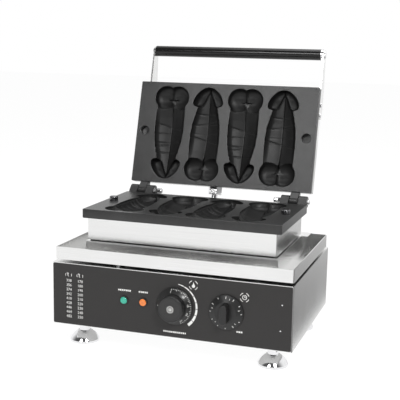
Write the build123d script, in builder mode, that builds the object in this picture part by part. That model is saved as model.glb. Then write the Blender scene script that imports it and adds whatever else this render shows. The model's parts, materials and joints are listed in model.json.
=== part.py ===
from build123d import *
from math import cos, hypot, radians, sin
import os

# Four-mould waffle baker in millimetres, +Z up, standing on the floor at z = 0.
# The origin lies on the floor under the middle of the whole appliance with the
# lid open, as it stands in use. The lid is modelled in that open pose.

# Base casing
body_w = 350.0
body_d = 242.0
body_h = 90.0
body_corner = 2.0
sheet = 1.2
seam_fit = 0.2
lug_w = 16.0
vent_w = 3.0
vent_l = 34.0
vent_pitch = 9.0
wall_vents = 12
floor_vents = 14

# Feet
foot_h = 32.4
foot_r = 21.0
foot_lip_h = 3.0
foot_top_r = 9.5
foot_neck_r = 7.8
foot_neck_h = 16.9
foot_in_x = 33.4
foot_in_y = 34.9
foot_bolt_r = 3.0
foot_bolt_l = 22.0
foot_bulge = 1.7

# Control panel
panel_t = 0.6
panel_side_gap = 1.5
panel_edge_gap = 1.0
control_rise = 45.6
temperature_x = 10.3
timer_x = 84.0
lamp_x = (-64.5, -36.0)
lamp_r = 5.0
lamp_bezel_r = 6.3
lamp_bezel_t = 1.6
lamp_body_l = 26.0
lens_rise = 1.0
lens_edge_r = 1.4
lamp_tag_x = 3.5
lamp_tag_w = 1.0
lamp_tag_h = 5.0
tag_l = 8.0

# Knobs
knob_gap = 1.0
knob_h = 17.4
knob_flange_r = 26.0
knob_cap_r = 18.2
knob_rim_h = 1.6
knob_cone_h = 7.4
cap_disc_t = 1.2
timer_r = 24.0
timer_hub_r = 15.0
timer_cone_h = 5.4
grip_bar_w = 11.0
grip_bar_l = 27.0
shaft_r = 3.0
shaft_fit = 0.05
shaft_in = 12.0
shaft_grip = 11.0
shaft_clear = 1.0
knob_step = 1.0
knob_edge_r = 1.6
grip_bar_edge_r = 1.2
knob_boss = 2.5
cap_inset = 3.0
recess_r = 11.0
recess_h = 2.0

# Bodies of the thermostat and the timer
thermostat_w = 36.0
thermostat_h = 48.0
thermostat_l = 27.0
timer_w = 46.0
timer_h = 42.0
timer_l = 34.0
control_corner = 3.0
tag_w = 6.3
tag_t = 0.8

# Drip tray
tray_side_gap = 2.0
tray_end_gap = 6.5
tray_h = 18.0
tray_t = 1.2
tray_corner = 2.0
spacer_h = 2.8
spacer_r = 3.5
spacer_x = 79.0
spacer_left_in = 6.5
spacer_right_in = 22.5
spacer_side_in = 15.5
spacer_side_y = 36.0
wire_hole_r = 14.0

# Plinth, gasket and skirt under the lower mould
plinth_w = 284.0
plinth_d = 161.0
plinth_h = 21.0
plinth_flare = 1.5
flange_l = 18.0
gasket_h = 1.9
gasket_inset = 3.0
skirt_w = 280.0
skirt_d = 157.2
skirt_h = 31.3
skirt_corner = 2.0

# Wiring box behind the plinth
box_w = 292.0
box_d = 29.0
box_h = 17.2
box_lid_t = 1.5
box_lid_overhang = 4.0

# Mould plates
plate_w = 294.0
plate_d = 164.0
plate_t = 13.2
plate_corner = 1.5
pad_w = 240.0
pad_d = 124.0
pad_t = 6.0
pad_corner = 12.0
closed_gap = 0.3
stud_x = 133.2
stud_y = -1.5
stud_r = 6.4
stud_h = 7.0
stud_shank_r = 3.0
stud_shank_l = 8.0
stud_hole_fit = 0.9
stud_hole_depth = 9.0
stud_edge_r = 2.2

# Moulds: half widths are measured at the parting face, distances from the lobe end
mould_pitch = 61.4
mould_l = 151.0
mould_depth = 15.0
lobe_half_w = 19.0
lobe_spread = 9.7
shaft_half_w = 24.3
root_half_w = 23.6
belly_at = 58.0
waist_at = 92.0
waist_half_w = 21.9
neck_at = 118.5
neck_half_w = 16.4
rim_at = 122.5
rim_half_w = 23.4
brow_at = 126.5
cheek_at = 132.0
cheek_half_w = 22.2
nose_at = 144.0
nose_half_w = 12.6

# Heaters and insulation
heater_r = 3.5
heater_out_x = 106.0
heater_mid_x = 54.0
heater_in_x = 12.0
heater_front_y = 50.0
heater_back_y = 48.0
heater_turn_y = 36.0
heater_end_y = 60.0
heater_bend_r = 10.0
heater_fit = 0.1
reflector_t = 1.0
rest_gap = 0.3
wool_w = 250.0
wool_d = 127.0

# Hinges
open_angle = 106.0
hinge_rise = 1.2
hinge_back = 14.3
hinge_x = 124.0
knuckle_r = 8.7
knuckle_l = 13.2
knuckle_gap = 0.5
web_root = 0.5
lug_h = 9.5
pin_r = 3.0
pin_fit = 0.05
pin_head_r = 4.2
pin_head_h = 3.6
pin_nut_af = 8.6
pin_nut_l = 9.0
pin_dome_l = 12.0
pin_tail = 11.0
pin_dome_r = 2.4

# Lid cover and handle
cover_w = 282.0
cover_d = 157.2
cover_h = 47.0
cover_corner = 3.0
cover_edge_r = 4.0
grip_reach = 60.0
grip_rise = 33.7
grip_r = 8.6
grip_edge_r = 1.0
rod_r = 4.0
arm_t = 2.5
arm_tip_r = 7.6
arm_neck_out = 7.0
arm_neck_low = 25.7
arm_neck_high = 50.5
arm_root_in = 41.0
arm_crown_in = 22.0
arm_crown = 55.0
arm_corner_r = 5.0
arm_neck_lean = 5.0
arm_hole_in = 20.0
arm_hole_pitch = 16.0
arm_hole_rise = 12.0

# Fasteners and glands
bolt_r = 3.0
skirt_bolt_in_x = 10.0
cover_bolt_in_x = 11.0
bolt_in_y = 9.6
bolt_head_r = 5.5
bolt_head_h = 4.0
thread_l = 7.0
hole_fit = 0.2
small_screw_r = 2.0
small_head_r = 3.8
small_head_h = 1.6
small_tail = 5.0
standoff_r = 5.0
rod_screw_clear = 1.0
gland_af = 20.0
gland_l = 14.4
gland_bore_r = 3.6
gland_thread_r = 7.5
gland_nut_t = 4.0
ferrule_r = 5.0
ferrule_l = 8.0
lid_gland_x = -13.5
lid_gland_rise = 31.0
mains_in = 45.0
mains_rise = 22.0

# Terminal block and earth stud on the bottom plate
block_x = 95.0
block_y = 70.0
block_w = 60.0
block_d = 20.0
block_ridge = 10.0
block_h = 9.0
block_ridge_h = 8.0
block_pitch = 12.0
block_row = 14.0
terminal_r = 2.5
terminal_hole = 5.0
terminal_h = 4.2
earth_x = 45.0
earth_h = 14.0
earth_nut_r = 4.6
earth_nut_h = 4.0

# Thermostat bulb under the lower plate
bulb_r = 3.0
bulb_l = 70.0
bulb_x = 33.0
bulb_rear = 10.0
bulb_edge_r = 1.2

# Levels, from the floor up
body_top = foot_h + body_h
tray_bottom = body_top + spacer_h
tray_floor = tray_bottom + tray_t
plinth_top = tray_floor + plinth_h
skirt_bottom = plinth_top + gasket_h
skirt_top = skirt_bottom + skirt_h
parting = skirt_top + plate_t
hinge_z = parting + hinge_rise
hinge_y = plate_d / 2 + hinge_back
control_z = foot_h + control_rise

# Lid sizes measured from the hinge axis, with the lid shut
mould_face = closed_gap - hinge_rise
plate_back = mould_face + plate_t
cover_top = plate_back + cover_h
grip_y = -(hinge_y + plate_d / 2 + grip_reach)
grip_z = mould_face + grip_rise
lean = radians(open_angle)
lid_out = (0, sin(lean), cos(lean))
lid_rearward = (0, cos(lean), -sin(lean))

# The base stands forward of the origin, so that the open lid balances the view
front_reach = body_d / 2 + panel_t + knob_gap + knob_h
rear_reach = hinge_y + grip_y * cos(lean) + grip_z * sin(lean) + grip_r
base_y = (front_reach - rear_reach) / 2

# Mould shapes: the cutters turn about axes that stand clear of the parting face
shaft_rise = (shaft_half_w**2 - mould_depth**2) / (2 * mould_depth)
lobe_rise = (lobe_half_w**2 - mould_depth**2) / (2 * mould_depth)
lobe_ball_r = mould_depth + lobe_rise
mould_x = [(place - 1.5) * mould_pitch for place in range(4)]

# Feet, spacers, bolts and the mains gland keep their distance from the edges they belong to
foot_x = body_w / 2 - foot_in_x
foot_y = body_d / 2 - foot_in_y
tray_w = body_w - 2 * tray_side_gap
tray_d = body_d - 2 * tray_end_gap
spacer_left_y = tray_d / 2 - spacer_left_in
spacer_right_y = tray_d / 2 - spacer_right_in
spacer_side_x = tray_w / 2 - spacer_side_in
bolt_x = skirt_w / 2 - skirt_bolt_in_x
bolt_y = skirt_d / 2 - bolt_in_y
lid_bolt_x = cover_w / 2 - cover_bolt_in_x
lid_bolt_y = cover_d / 2 - bolt_in_y
mains_x = body_w / 2 - mains_in
spacer_places = [(-spacer_x, -spacer_left_y), (spacer_x, -spacer_right_y)]
spacer_places += [(i * spacer_side_x, spacer_side_y) for i in (-1, 1)]

heater_path = [
    (-heater_in_x, heater_end_y),
    (-heater_in_x, -heater_turn_y),
    (-heater_mid_x, -heater_turn_y),
    (-heater_mid_x, heater_back_y),
    (-heater_out_x, heater_back_y),
    (-heater_out_x, -heater_front_y),
    (heater_out_x, -heater_front_y),
    (heater_out_x, heater_back_y),
    (heater_mid_x, heater_back_y),
    (heater_mid_x, -heater_turn_y),
    (heater_in_x, -heater_turn_y),
    (heater_in_x, heater_end_y),
]

os.makedirs("parts", exist_ok=True)


def level(z):
    """Horizontal plane over the middle of the base."""
    return Plane(origin=(0, base_y, z))


def side(x):
    """Upright plane across the base: local x runs back, local y runs up."""
    return Plane(origin=(x, base_y, 0), x_dir=(0, 1, 0), z_dir=(1, 0, 0))


def front(y):
    """Upright plane that faces the cook: local x runs right, local y runs up."""
    return Plane(origin=(0, base_y + y, 0), x_dir=(1, 0, 0), z_dir=(0, -1, 0))


def lid_point(x, y, z):
    """Point of the open lid, from its place behind and above the hinge axis when shut."""
    over = base_y + hinge_y + y * lid_rearward[1] + z * lid_out[1]
    up = hinge_z + y * lid_rearward[2] + z * lid_out[2]
    return (x, over, up)


def lid_level(z):
    """Plane parallel to the upper mould face."""
    return Plane(origin=lid_point(0, 0, z), x_dir=(1, 0, 0), z_dir=lid_out)


def lid_side(x):
    """Plane across the lid: local x runs to its back edge, local y away from the moulds."""
    return Plane(origin=lid_point(x, 0, 0), x_dir=lid_rearward, z_dir=(1, 0, 0))


def lid_rear(y):
    """Plane that looks out of the lid's back edge: local y away from the moulds."""
    return Plane(origin=lid_point(0, y, 0), x_dir=(-1, 0, 0), z_dir=lid_rearward)


def corners(x, y, middle=0.0):
    """Four places at the corners of a rectangle."""
    return [(i * x, middle + j * y) for j in (-1, 1) for i in (-1, 1)]


def keep(builder, label):
    """Name a finished piece and write its file."""
    builder.part.label = label
    export_step(builder.part, f"parts/{label}.step")


def bore_radius(half_width):
    """Cutter radius that opens to this half width at the parting face."""
    return hypot(half_width, shaft_rise)


def cut_mould(plane):
    """Cut one mould: the plane lies on the shaft's axis, from the lobe end to the tip."""
    with BuildSketch(plane) as outline:
        with BuildLine():
            Polyline((lobe_half_w, 0), (lobe_half_w, bore_radius(root_half_w)))
            Spline(
                (lobe_half_w, bore_radius(root_half_w)),
                (belly_at, bore_radius(shaft_half_w)),
                (waist_at, bore_radius(waist_half_w)),
                (neck_at, bore_radius(neck_half_w)),
            )
            Line((neck_at, bore_radius(neck_half_w)), (rim_at, bore_radius(rim_half_w)))
            ThreePointArc(
                (rim_at, bore_radius(rim_half_w)),
                (brow_at, bore_radius(shaft_half_w)),
                (cheek_at, bore_radius(cheek_half_w)),
            )
            ThreePointArc(
                (cheek_at, bore_radius(cheek_half_w)),
                (nose_at, bore_radius(nose_half_w)),
                (mould_l, shaft_rise),
            )
            Polyline((mould_l, shaft_rise), (mould_l, 0), (lobe_half_w, 0))
        make_face()
    revolve(outline.sketch, axis=Axis(plane.origin, plane.x_dir), mode=Mode.SUBTRACT)
    for hand in (-1, 1):
        with Locations(
            plane.from_local_coords((lobe_half_w, hand * lobe_spread, lobe_rise - shaft_rise))
        ):
            Sphere(lobe_ball_r, mode=Mode.SUBTRACT)


def knuckle(place):
    """Where a hinge knuckle starts along x: place -1, 0 or 1 about the hinge's middle."""
    return place * (knuckle_l + knuckle_gap) - knuckle_l / 2


def gland(plane, label, stem):
    """Hexagonal cable gland with its lock nut behind the wall that the plane lies on."""
    with BuildPart() as piece:
        with BuildSketch(plane):
            RegularPolygon(gland_af / 2, 6, major_radius=False)
        extrude(amount=gland_l)
        fillet(piece.faces().sort_by(Axis(plane.origin, plane.z_dir))[-1].edges(), sheet)
        with BuildSketch(plane):
            Circle(gland_thread_r)
        extrude(amount=-stem)
        with BuildSketch(plane.offset(-stem)):
            RegularPolygon(gland_af / 2, 6, major_radius=False)
        extrude(amount=gland_nut_t)
        with BuildSketch(plane.offset(-stem)):
            Circle(gland_bore_r)
        extrude(amount=stem + gland_l, mode=Mode.SUBTRACT)
    keep(piece, label)


def ferrule(plane, label):
    """Short sleeve that stands out of a gland's mouth."""
    with BuildPart() as piece:
        with BuildSketch(plane.offset(gland_l)):
            Circle(ferrule_r)
            Circle(gland_bore_r, mode=Mode.SUBTRACT)
        extrude(amount=ferrule_l)
    keep(piece, label)


# Base casing, closed on top, with holes for the controls, the wires and the air
inner_w = body_w - 2 * sheet
inner_d = body_d - 2 * sheet
tab_x = inner_w / 2 - lug_w / 2
tab_y = inner_d / 2 - lug_w / 2
mains_z = foot_h + mains_rise
vent_z = foot_h + body_h / 2

with BuildPart() as base_shell:
    with BuildSketch(level(foot_h)):
        RectangleRounded(body_w, body_d, body_corner)
    extrude(amount=body_h)
    with BuildSketch(level(foot_h)):
        Rectangle(inner_w, inner_d)
    extrude(amount=body_h - sheet, mode=Mode.SUBTRACT)
    with BuildSketch(level(foot_h + sheet)):
        with Locations(*corners(tab_x, tab_y)):
            Rectangle(lug_w, lug_w)
    extrude(amount=sheet)
    with BuildSketch(level(foot_h)):
        with Locations(*corners(tab_x, tab_y)):
            Circle(small_screw_r + shaft_fit)
    extrude(amount=body_h / 2, mode=Mode.SUBTRACT)
    with BuildSketch(level(body_top - sheet)):
        Circle(wire_hole_r)
        with Locations(*spacer_places):
            Circle(small_screw_r + shaft_fit)
    extrude(amount=sheet, mode=Mode.SUBTRACT)
    with BuildSketch(front(-body_d / 2 + sheet)):
        with Locations((temperature_x, control_z), (timer_x, control_z)):
            Circle(shaft_r + hole_fit)
        with Locations(*[(x, control_z) for x in lamp_x]):
            Circle(lamp_r + hole_fit)
    extrude(amount=sheet, mode=Mode.SUBTRACT)
    with BuildSketch(front(body_d / 2)):
        with Locations((mains_x, mains_z)):
            Circle(gland_thread_r + hole_fit)
        with Locations((0, vent_z)):
            with GridLocations(vent_pitch, 1, wall_vents, 1):
                SlotOverall(vent_l, vent_w, rotation=90)
    extrude(amount=sheet, mode=Mode.SUBTRACT)
keep(base_shell, "base_shell")

# Bottom plate with the holes of the feet and air slots
with BuildPart() as bottom_plate:
    with BuildSketch(level(foot_h)):
        Rectangle(inner_w - 2 * seam_fit, inner_d - 2 * seam_fit)
        with Locations(*corners(foot_x, foot_y)):
            Circle(foot_bolt_r + hole_fit, mode=Mode.SUBTRACT)
        with Locations(*corners(tab_x, tab_y)):
            Circle(small_screw_r + hole_fit, mode=Mode.SUBTRACT)
        with GridLocations(vent_pitch, 1, floor_vents, 1):
            SlotOverall(vent_l, vent_w, rotation=90, mode=Mode.SUBTRACT)
    extrude(amount=sheet)
keep(bottom_plate, "bottom_plate")

with BuildPart() as bottom_screws:
    with BuildSketch(level(foot_h)):
        with Locations(*corners(tab_x, tab_y)):
            Circle(small_head_r)
    extrude(amount=-small_head_h)
    with BuildSketch(level(foot_h)):
        with Locations(*corners(tab_x, tab_y)):
            Circle(small_screw_r)
    extrude(amount=3 * sheet)
keep(bottom_screws, "bottom_screws")

# Domed feet with a straight neck and the bolts that hold them
foot_places = {
    "foot_front_left": (-foot_x, -foot_y),
    "foot_front_right": (foot_x, -foot_y),
    "foot_rear_left": (-foot_x, foot_y),
    "foot_rear_right": (foot_x, foot_y),
}
for foot_name, (x, y) in foot_places.items():
    foot_axis = Plane(origin=(x, base_y + y, 0), x_dir=(1, 0, 0), z_dir=(0, -1, 0))
    cone_top = foot_h - foot_neck_h
    with BuildPart() as foot:
        with BuildSketch(foot_axis):
            with BuildLine():
                Polyline((0, 0), (foot_r, 0), (foot_r, foot_lip_h))
                ThreePointArc(
                    (foot_r, foot_lip_h),
                    ((foot_r + foot_top_r) / 2 + foot_bulge, (foot_lip_h + cone_top) / 2),
                    (foot_top_r, cone_top),
                )
                Polyline(
                    (foot_top_r, cone_top),
                    (foot_neck_r, cone_top),
                    (foot_neck_r, foot_h),
                    (0, foot_h),
                    (0, 0),
                )
            make_face()
        revolve(axis=Axis(foot_axis.origin, (0, 0, 1)))
        with Locations((x, base_y + y, foot_h)):
            Hole(foot_bolt_r + shaft_fit, depth=foot_bolt_l)
    keep(foot, foot_name)

with BuildPart() as foot_bolts:
    with BuildSketch(level(foot_h + sheet)):
        with Locations(*corners(foot_x, foot_y)):
            RegularPolygon(bolt_head_r, 6)
    extrude(amount=bolt_head_h)
    with BuildSketch(level(foot_h + sheet)):
        with Locations(*corners(foot_x, foot_y)):
            Circle(foot_bolt_r)
    extrude(amount=-(foot_bolt_l - sheet))
keep(foot_bolts, "foot_bolts")

# Dark control panel over the front wall
panel_w = body_w - 2 * panel_side_gap
panel_h = body_h - 2 * panel_edge_gap
panel_back = -body_d / 2
panel_front = panel_back - panel_t
with BuildPart() as control_panel:
    with BuildSketch(front(panel_back)):
        with Locations((0, foot_h + body_h / 2)):
            RectangleRounded(panel_w, panel_h, body_corner)
        with Locations((temperature_x, control_z), (timer_x, control_z)):
            Circle(shaft_r + hole_fit, mode=Mode.SUBTRACT)
        with Locations(*[(x, control_z) for x in lamp_x]):
            Circle(lamp_r + hole_fit, mode=Mode.SUBTRACT)
    extrude(amount=panel_t)
keep(control_panel, "control_panel")

# Pilot lamps: one bezel pair, two lenses, two bodies behind the wall
with BuildPart() as lamp_bezels:
    with BuildSketch(front(panel_front)):
        with Locations(*[(x, control_z) for x in lamp_x]):
            Circle(lamp_bezel_r)
            Circle(lamp_r + shaft_fit, mode=Mode.SUBTRACT)
    extrude(amount=lamp_bezel_t)
keep(lamp_bezels, "lamp_bezels")

lens_depth = panel_t + sheet
lens_out = lamp_bezel_t + lens_rise
for lens_name, x in zip(("lamp_lens_green", "lamp_lens_orange"), lamp_x):
    with BuildPart() as lens:
        with BuildSketch(front(panel_front + lens_depth)):
            with Locations((x, control_z)):
                Circle(lamp_r)
        extrude(amount=lens_depth + lens_out)
        fillet(lens.faces().sort_by(Axis.Y)[0].edges(), lens_edge_r)
    keep(lens, lens_name)

with BuildPart() as lamp_bodies:
    with BuildSketch(front(panel_back + sheet)):
        with Locations(*[(x, control_z) for x in lamp_x]):
            Circle(lamp_bezel_r)
    extrude(amount=-lamp_body_l)
    with BuildSketch(front(panel_back + sheet + lamp_body_l)):
        with Locations(*[(x + i * lamp_tag_x, control_z) for x in lamp_x for i in (-1, 1)]):
            Rectangle(lamp_tag_w, lamp_tag_h)
    extrude(amount=-tag_l)
keep(lamp_bodies, "lamp_bodies")

# Thermostat and timer behind the wall, with their shafts through it
wall_back = panel_back + sheet
shaft_out = knob_gap + shaft_grip
for body_name, x, w, h, deep in (
    ("thermostat_body", temperature_x, thermostat_w, thermostat_h, thermostat_l),
    ("timer_body", timer_x, timer_w, timer_h, timer_l),
):
    with BuildPart() as control_body:
        with BuildSketch(front(wall_back)):
            with Locations((x, control_z)):
                RectangleRounded(w, h, control_corner)
        extrude(amount=-deep)
        with BuildSketch(front(wall_back + deep)):
            with Locations(*[(x + i * w / 4, control_z + h / 4) for i in (-1, 1)]):
                Rectangle(tag_w, tag_t)
        extrude(amount=-tag_l)
        with BuildSketch(front(wall_back)):
            with Locations((x, control_z)):
                Circle(shaft_r + shaft_fit)
        extrude(amount=-(shaft_in + shaft_clear), mode=Mode.SUBTRACT)
    keep(control_body, body_name)

for shaft_name, x in (("temperature_shaft", temperature_x), ("timer_shaft", timer_x)):
    with BuildPart() as shaft:
        with BuildSketch(front(wall_back + shaft_in)):
            with Locations((x, control_z)):
                Circle(shaft_r)
        extrude(amount=shaft_in + sheet + panel_t + shaft_out)
    keep(shaft, shaft_name)

# Temperature knob: wide coned flange under a round cap with a thin inlaid disc
knob_base = panel_front - knob_gap
with BuildPart() as temperature_knob:
    with BuildSketch(
        Plane(origin=(temperature_x, base_y + knob_base, control_z), x_dir=(1, 0, 0), z_dir=(0, 0, 1))
    ):
        with BuildLine():
            Polyline(
                (0, 0),
                (knob_flange_r, 0),
                (knob_flange_r, -knob_rim_h),
                (knob_cap_r + knob_step, -knob_cone_h),
                (knob_cap_r, -knob_cone_h),
                (knob_cap_r, -knob_h),
                (0, -knob_h),
                (0, 0),
            )
        make_face()
    revolve(axis=Axis((temperature_x, base_y + knob_base, control_z), (0, 1, 0)))
    fillet(temperature_knob.faces().sort_by(Axis.Y)[0].edges(), knob_edge_r)
    with BuildSketch(front(knob_base)):
        with Locations((temperature_x, control_z)):
            Circle(recess_r)
            Circle(shaft_r + knob_boss, mode=Mode.SUBTRACT)
    extrude(amount=recess_h, mode=Mode.SUBTRACT)
    with BuildSketch(front(knob_base)):
        with Locations((temperature_x, control_z)):
            Circle(shaft_r)
    extrude(amount=shaft_out - knob_gap, mode=Mode.SUBTRACT)
    with BuildSketch(front(knob_base - knob_h)):
        with Locations((temperature_x, control_z)):
            Circle(knob_cap_r - cap_inset)
    extrude(amount=-cap_disc_t, mode=Mode.SUBTRACT)
keep(temperature_knob, "temperature_knob")

with BuildPart() as temperature_cap:
    with BuildSketch(front(knob_base - knob_h + cap_disc_t)):
        with Locations((temperature_x, control_z)):
            Circle(knob_cap_r - cap_inset)
    extrude(amount=cap_disc_t)
keep(temperature_cap, "temperature_cap")

# Timer knob: coned dial with an upright finger bar
with BuildPart() as timer_knob:
    with BuildSketch(
        Plane(origin=(timer_x, base_y + knob_base, control_z), x_dir=(1, 0, 0), z_dir=(0, 0, 1))
    ):
        with BuildLine():
            Polyline(
                (0, 0),
                (timer_r, 0),
                (timer_r, -knob_rim_h),
                (timer_hub_r, -timer_cone_h),
                (0, -timer_cone_h),
                (0, 0),
            )
        make_face()
    revolve(axis=Axis((timer_x, base_y + knob_base, control_z), (0, 1, 0)))
    with BuildSketch(front(knob_base - timer_cone_h / 2)):
        with Locations((timer_x, control_z)):
            SlotOverall(grip_bar_l, grip_bar_w, rotation=90)
    extrude(amount=knob_h - timer_cone_h / 2)
    fillet(timer_knob.faces().sort_by(Axis.Y)[0].edges(), grip_bar_edge_r)
    with BuildSketch(front(knob_base)):
        with Locations((timer_x, control_z)):
            Circle(recess_r)
            Circle(shaft_r + knob_boss, mode=Mode.SUBTRACT)
    extrude(amount=recess_h, mode=Mode.SUBTRACT)
    with BuildSketch(front(knob_base)):
        with Locations((timer_x, control_z)):
            Circle(shaft_r)
    extrude(amount=shaft_out - knob_gap, mode=Mode.SUBTRACT)
keep(timer_knob, "timer_knob")

# Wiring inside the base: mains gland, terminal block and earth stud
mains_plane = Plane(
    origin=(mains_x, base_y + body_d / 2, mains_z), x_dir=(-1, 0, 0), z_dir=(0, 1, 0)
)
gland(mains_plane, "mains_gland", sheet + gland_nut_t)

block_top = foot_h + sheet + block_h
with BuildPart() as terminal_block:
    with BuildSketch(level(foot_h + sheet)):
        with Locations((block_x, block_y)):
            Rectangle(block_w, block_d)
    extrude(amount=block_h)
    with BuildSketch(level(block_top)):
        with Locations((block_x, block_y)):
            Rectangle(block_w, block_ridge)
    extrude(amount=block_ridge_h)
    with BuildSketch(level(block_top)):
        with Locations((block_x, block_y)):
            with GridLocations(block_pitch, block_row, 4, 2):
                Circle(terminal_r)
    extrude(amount=-terminal_hole, mode=Mode.SUBTRACT)
keep(terminal_block, "terminal_block")

with BuildPart() as terminal_screws:
    with BuildSketch(level(block_top - terminal_hole)):
        with Locations((block_x, block_y)):
            with GridLocations(block_pitch, block_row, 4, 2):
                Circle(terminal_r - shaft_fit)
    extrude(amount=terminal_h)
keep(terminal_screws, "terminal_screws")

with BuildPart() as earth_stud:
    with BuildSketch(level(foot_h + sheet)):
        with Locations((earth_x, block_y)):
            Circle(terminal_r)
    extrude(amount=earth_h)
    with BuildSketch(level(foot_h + sheet)):
        with Locations((earth_x, block_y)):
            RegularPolygon(earth_nut_r, 6)
    extrude(amount=earth_nut_h)
keep(earth_stud, "earth_stud")

# Drip tray on its spacers
with BuildPart() as tray:
    with BuildSketch(level(tray_bottom)):
        RectangleRounded(tray_w, tray_d, tray_corner)
    extrude(amount=tray_h)
    with BuildSketch(level(tray_floor)):
        Rectangle(tray_w - 2 * tray_t, tray_d - 2 * tray_t)
    extrude(amount=tray_h, mode=Mode.SUBTRACT)
    with BuildSketch(level(tray_bottom)):
        Circle(wire_hole_r)
        with Locations(*spacer_places):
            Circle(small_screw_r + hole_fit)
    extrude(amount=tray_t, mode=Mode.SUBTRACT)
keep(tray, "tray")

with BuildPart() as tray_spacers:
    with BuildSketch(level(body_top)):
        with Locations(*spacer_places):
            Circle(spacer_r)
            Circle(small_screw_r + hole_fit, mode=Mode.SUBTRACT)
    extrude(amount=spacer_h)
keep(tray_spacers, "tray_spacers")

with BuildPart() as tray_screws:
    with BuildSketch(level(tray_floor)):
        with Locations(*spacer_places):
            Circle(small_head_r)
    extrude(amount=small_head_h)
    with BuildSketch(level(tray_floor)):
        with Locations(*spacer_places):
            Circle(small_screw_r)
    extrude(amount=-(tray_t + spacer_h + 4 * sheet))
keep(tray_screws, "tray_screws")

# Flared plinth frame, its gasket and the skirt box above it
plinth_foot_w = plinth_w + 2 * plinth_flare
plinth_foot_d = plinth_d + 2 * plinth_flare
with BuildPart() as plinth:
    with BuildSketch(level(tray_floor)):
        RectangleRounded(plinth_foot_w, plinth_foot_d, skirt_corner)
    with BuildSketch(level(plinth_top)):
        RectangleRounded(plinth_w, plinth_d, skirt_corner)
    loft()
    with BuildSketch(level(tray_floor)):
        Rectangle(plinth_w - 2 * sheet, plinth_d - 2 * sheet)
    extrude(amount=plinth_h - sheet, mode=Mode.SUBTRACT)
    with BuildSketch(level(plinth_top)):
        Rectangle(skirt_w - 2 * flange_l, skirt_d - 2 * flange_l)
    extrude(amount=-sheet, mode=Mode.SUBTRACT)
    with BuildSketch(level(plinth_top)):
        with Locations(*corners(bolt_x, bolt_y)):
            Circle(bolt_r + hole_fit)
    extrude(amount=-sheet, mode=Mode.SUBTRACT)
    with BuildSketch(front(plinth_foot_d / 2)):
        with Locations((0, tray_floor)):
            Rectangle(2 * wire_hole_r, plinth_h / 2, align=(Align.CENTER, Align.MIN))
    extrude(amount=2 * sheet + plinth_flare, mode=Mode.SUBTRACT)
keep(plinth, "plinth")

with BuildPart() as skirt_gasket:
    with BuildSketch(level(plinth_top)):
        Rectangle(skirt_w - 2 * gasket_inset, skirt_d - 2 * gasket_inset)
        Rectangle(skirt_w - 2 * flange_l, skirt_d - 2 * flange_l, mode=Mode.SUBTRACT)
        with Locations(*corners(bolt_x, bolt_y)):
            Circle(bolt_r + hole_fit, mode=Mode.SUBTRACT)
    extrude(amount=gasket_h)
keep(skirt_gasket, "skirt_gasket")

with BuildPart() as skirt:
    with BuildSketch(level(skirt_bottom)):
        RectangleRounded(skirt_w, skirt_d, skirt_corner)
        Rectangle(skirt_w - 2 * sheet, skirt_d - 2 * sheet, mode=Mode.SUBTRACT)
    extrude(amount=skirt_h)
    with BuildSketch(level(skirt_bottom)):
        Rectangle(skirt_w - sheet, skirt_d - sheet)
        Rectangle(skirt_w - 2 * flange_l, skirt_d - 2 * flange_l, mode=Mode.SUBTRACT)
        with Locations(*corners(bolt_x, bolt_y)):
            Circle(bolt_r + hole_fit, mode=Mode.SUBTRACT)
    extrude(amount=sheet)
keep(skirt, "skirt")

with BuildPart() as plate_bolts:
    with BuildSketch(level(skirt_top + thread_l)):
        with Locations(*corners(bolt_x, bolt_y)):
            Circle(bolt_r)
    extrude(amount=-(thread_l + skirt_top - plinth_top + sheet))
    with BuildSketch(level(plinth_top - sheet)):
        with Locations(*corners(bolt_x, bolt_y)):
            RegularPolygon(bolt_head_r, 6)
    extrude(amount=-bolt_head_h)
keep(plate_bolts, "plate_bolts")

# Wiring box behind the plinth, with its own lid and the lower conduit gland
box_front = plinth_foot_d / 2
box_back = box_front + box_d
box_mid = (box_front + box_back) / 2
box_top = tray_floor + box_h
with BuildPart() as wiring_box:
    with BuildSketch(level(tray_floor)):
        with Locations((0, box_mid)):
            Rectangle(box_w, box_d)
    extrude(amount=box_h)
    with BuildSketch(level(tray_floor)):
        with Locations((0, box_mid)):
            Rectangle(box_w - 2 * sheet, box_d - 2 * sheet)
    extrude(amount=box_h, mode=Mode.SUBTRACT)
    with BuildSketch(front(box_front + sheet)):
        with Locations((0, tray_floor)):
            Rectangle(2 * wire_hole_r, plinth_h / 2, align=(Align.CENTER, Align.MIN))
    extrude(amount=sheet, mode=Mode.SUBTRACT)
keep(wiring_box, "wiring_box")

with BuildPart() as wiring_box_lid:
    with BuildSketch(level(box_top)):
        with Locations((0, box_mid)):
            Rectangle(box_w + 2 * box_lid_overhang, box_d)
        with Locations((lid_gland_x, box_mid)):
            Circle(gland_thread_r + hole_fit, mode=Mode.SUBTRACT)
    extrude(amount=box_lid_t)
keep(wiring_box_lid, "wiring_box_lid")

box_gland_plane = Plane(
    origin=(lid_gland_x, base_y + box_mid, box_top + box_lid_t), x_dir=(1, 0, 0), z_dir=(0, 0, 1)
)
gland(box_gland_plane, "box_gland", box_lid_t + gland_nut_t)
ferrule(box_gland_plane, "box_ferrule")

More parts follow.
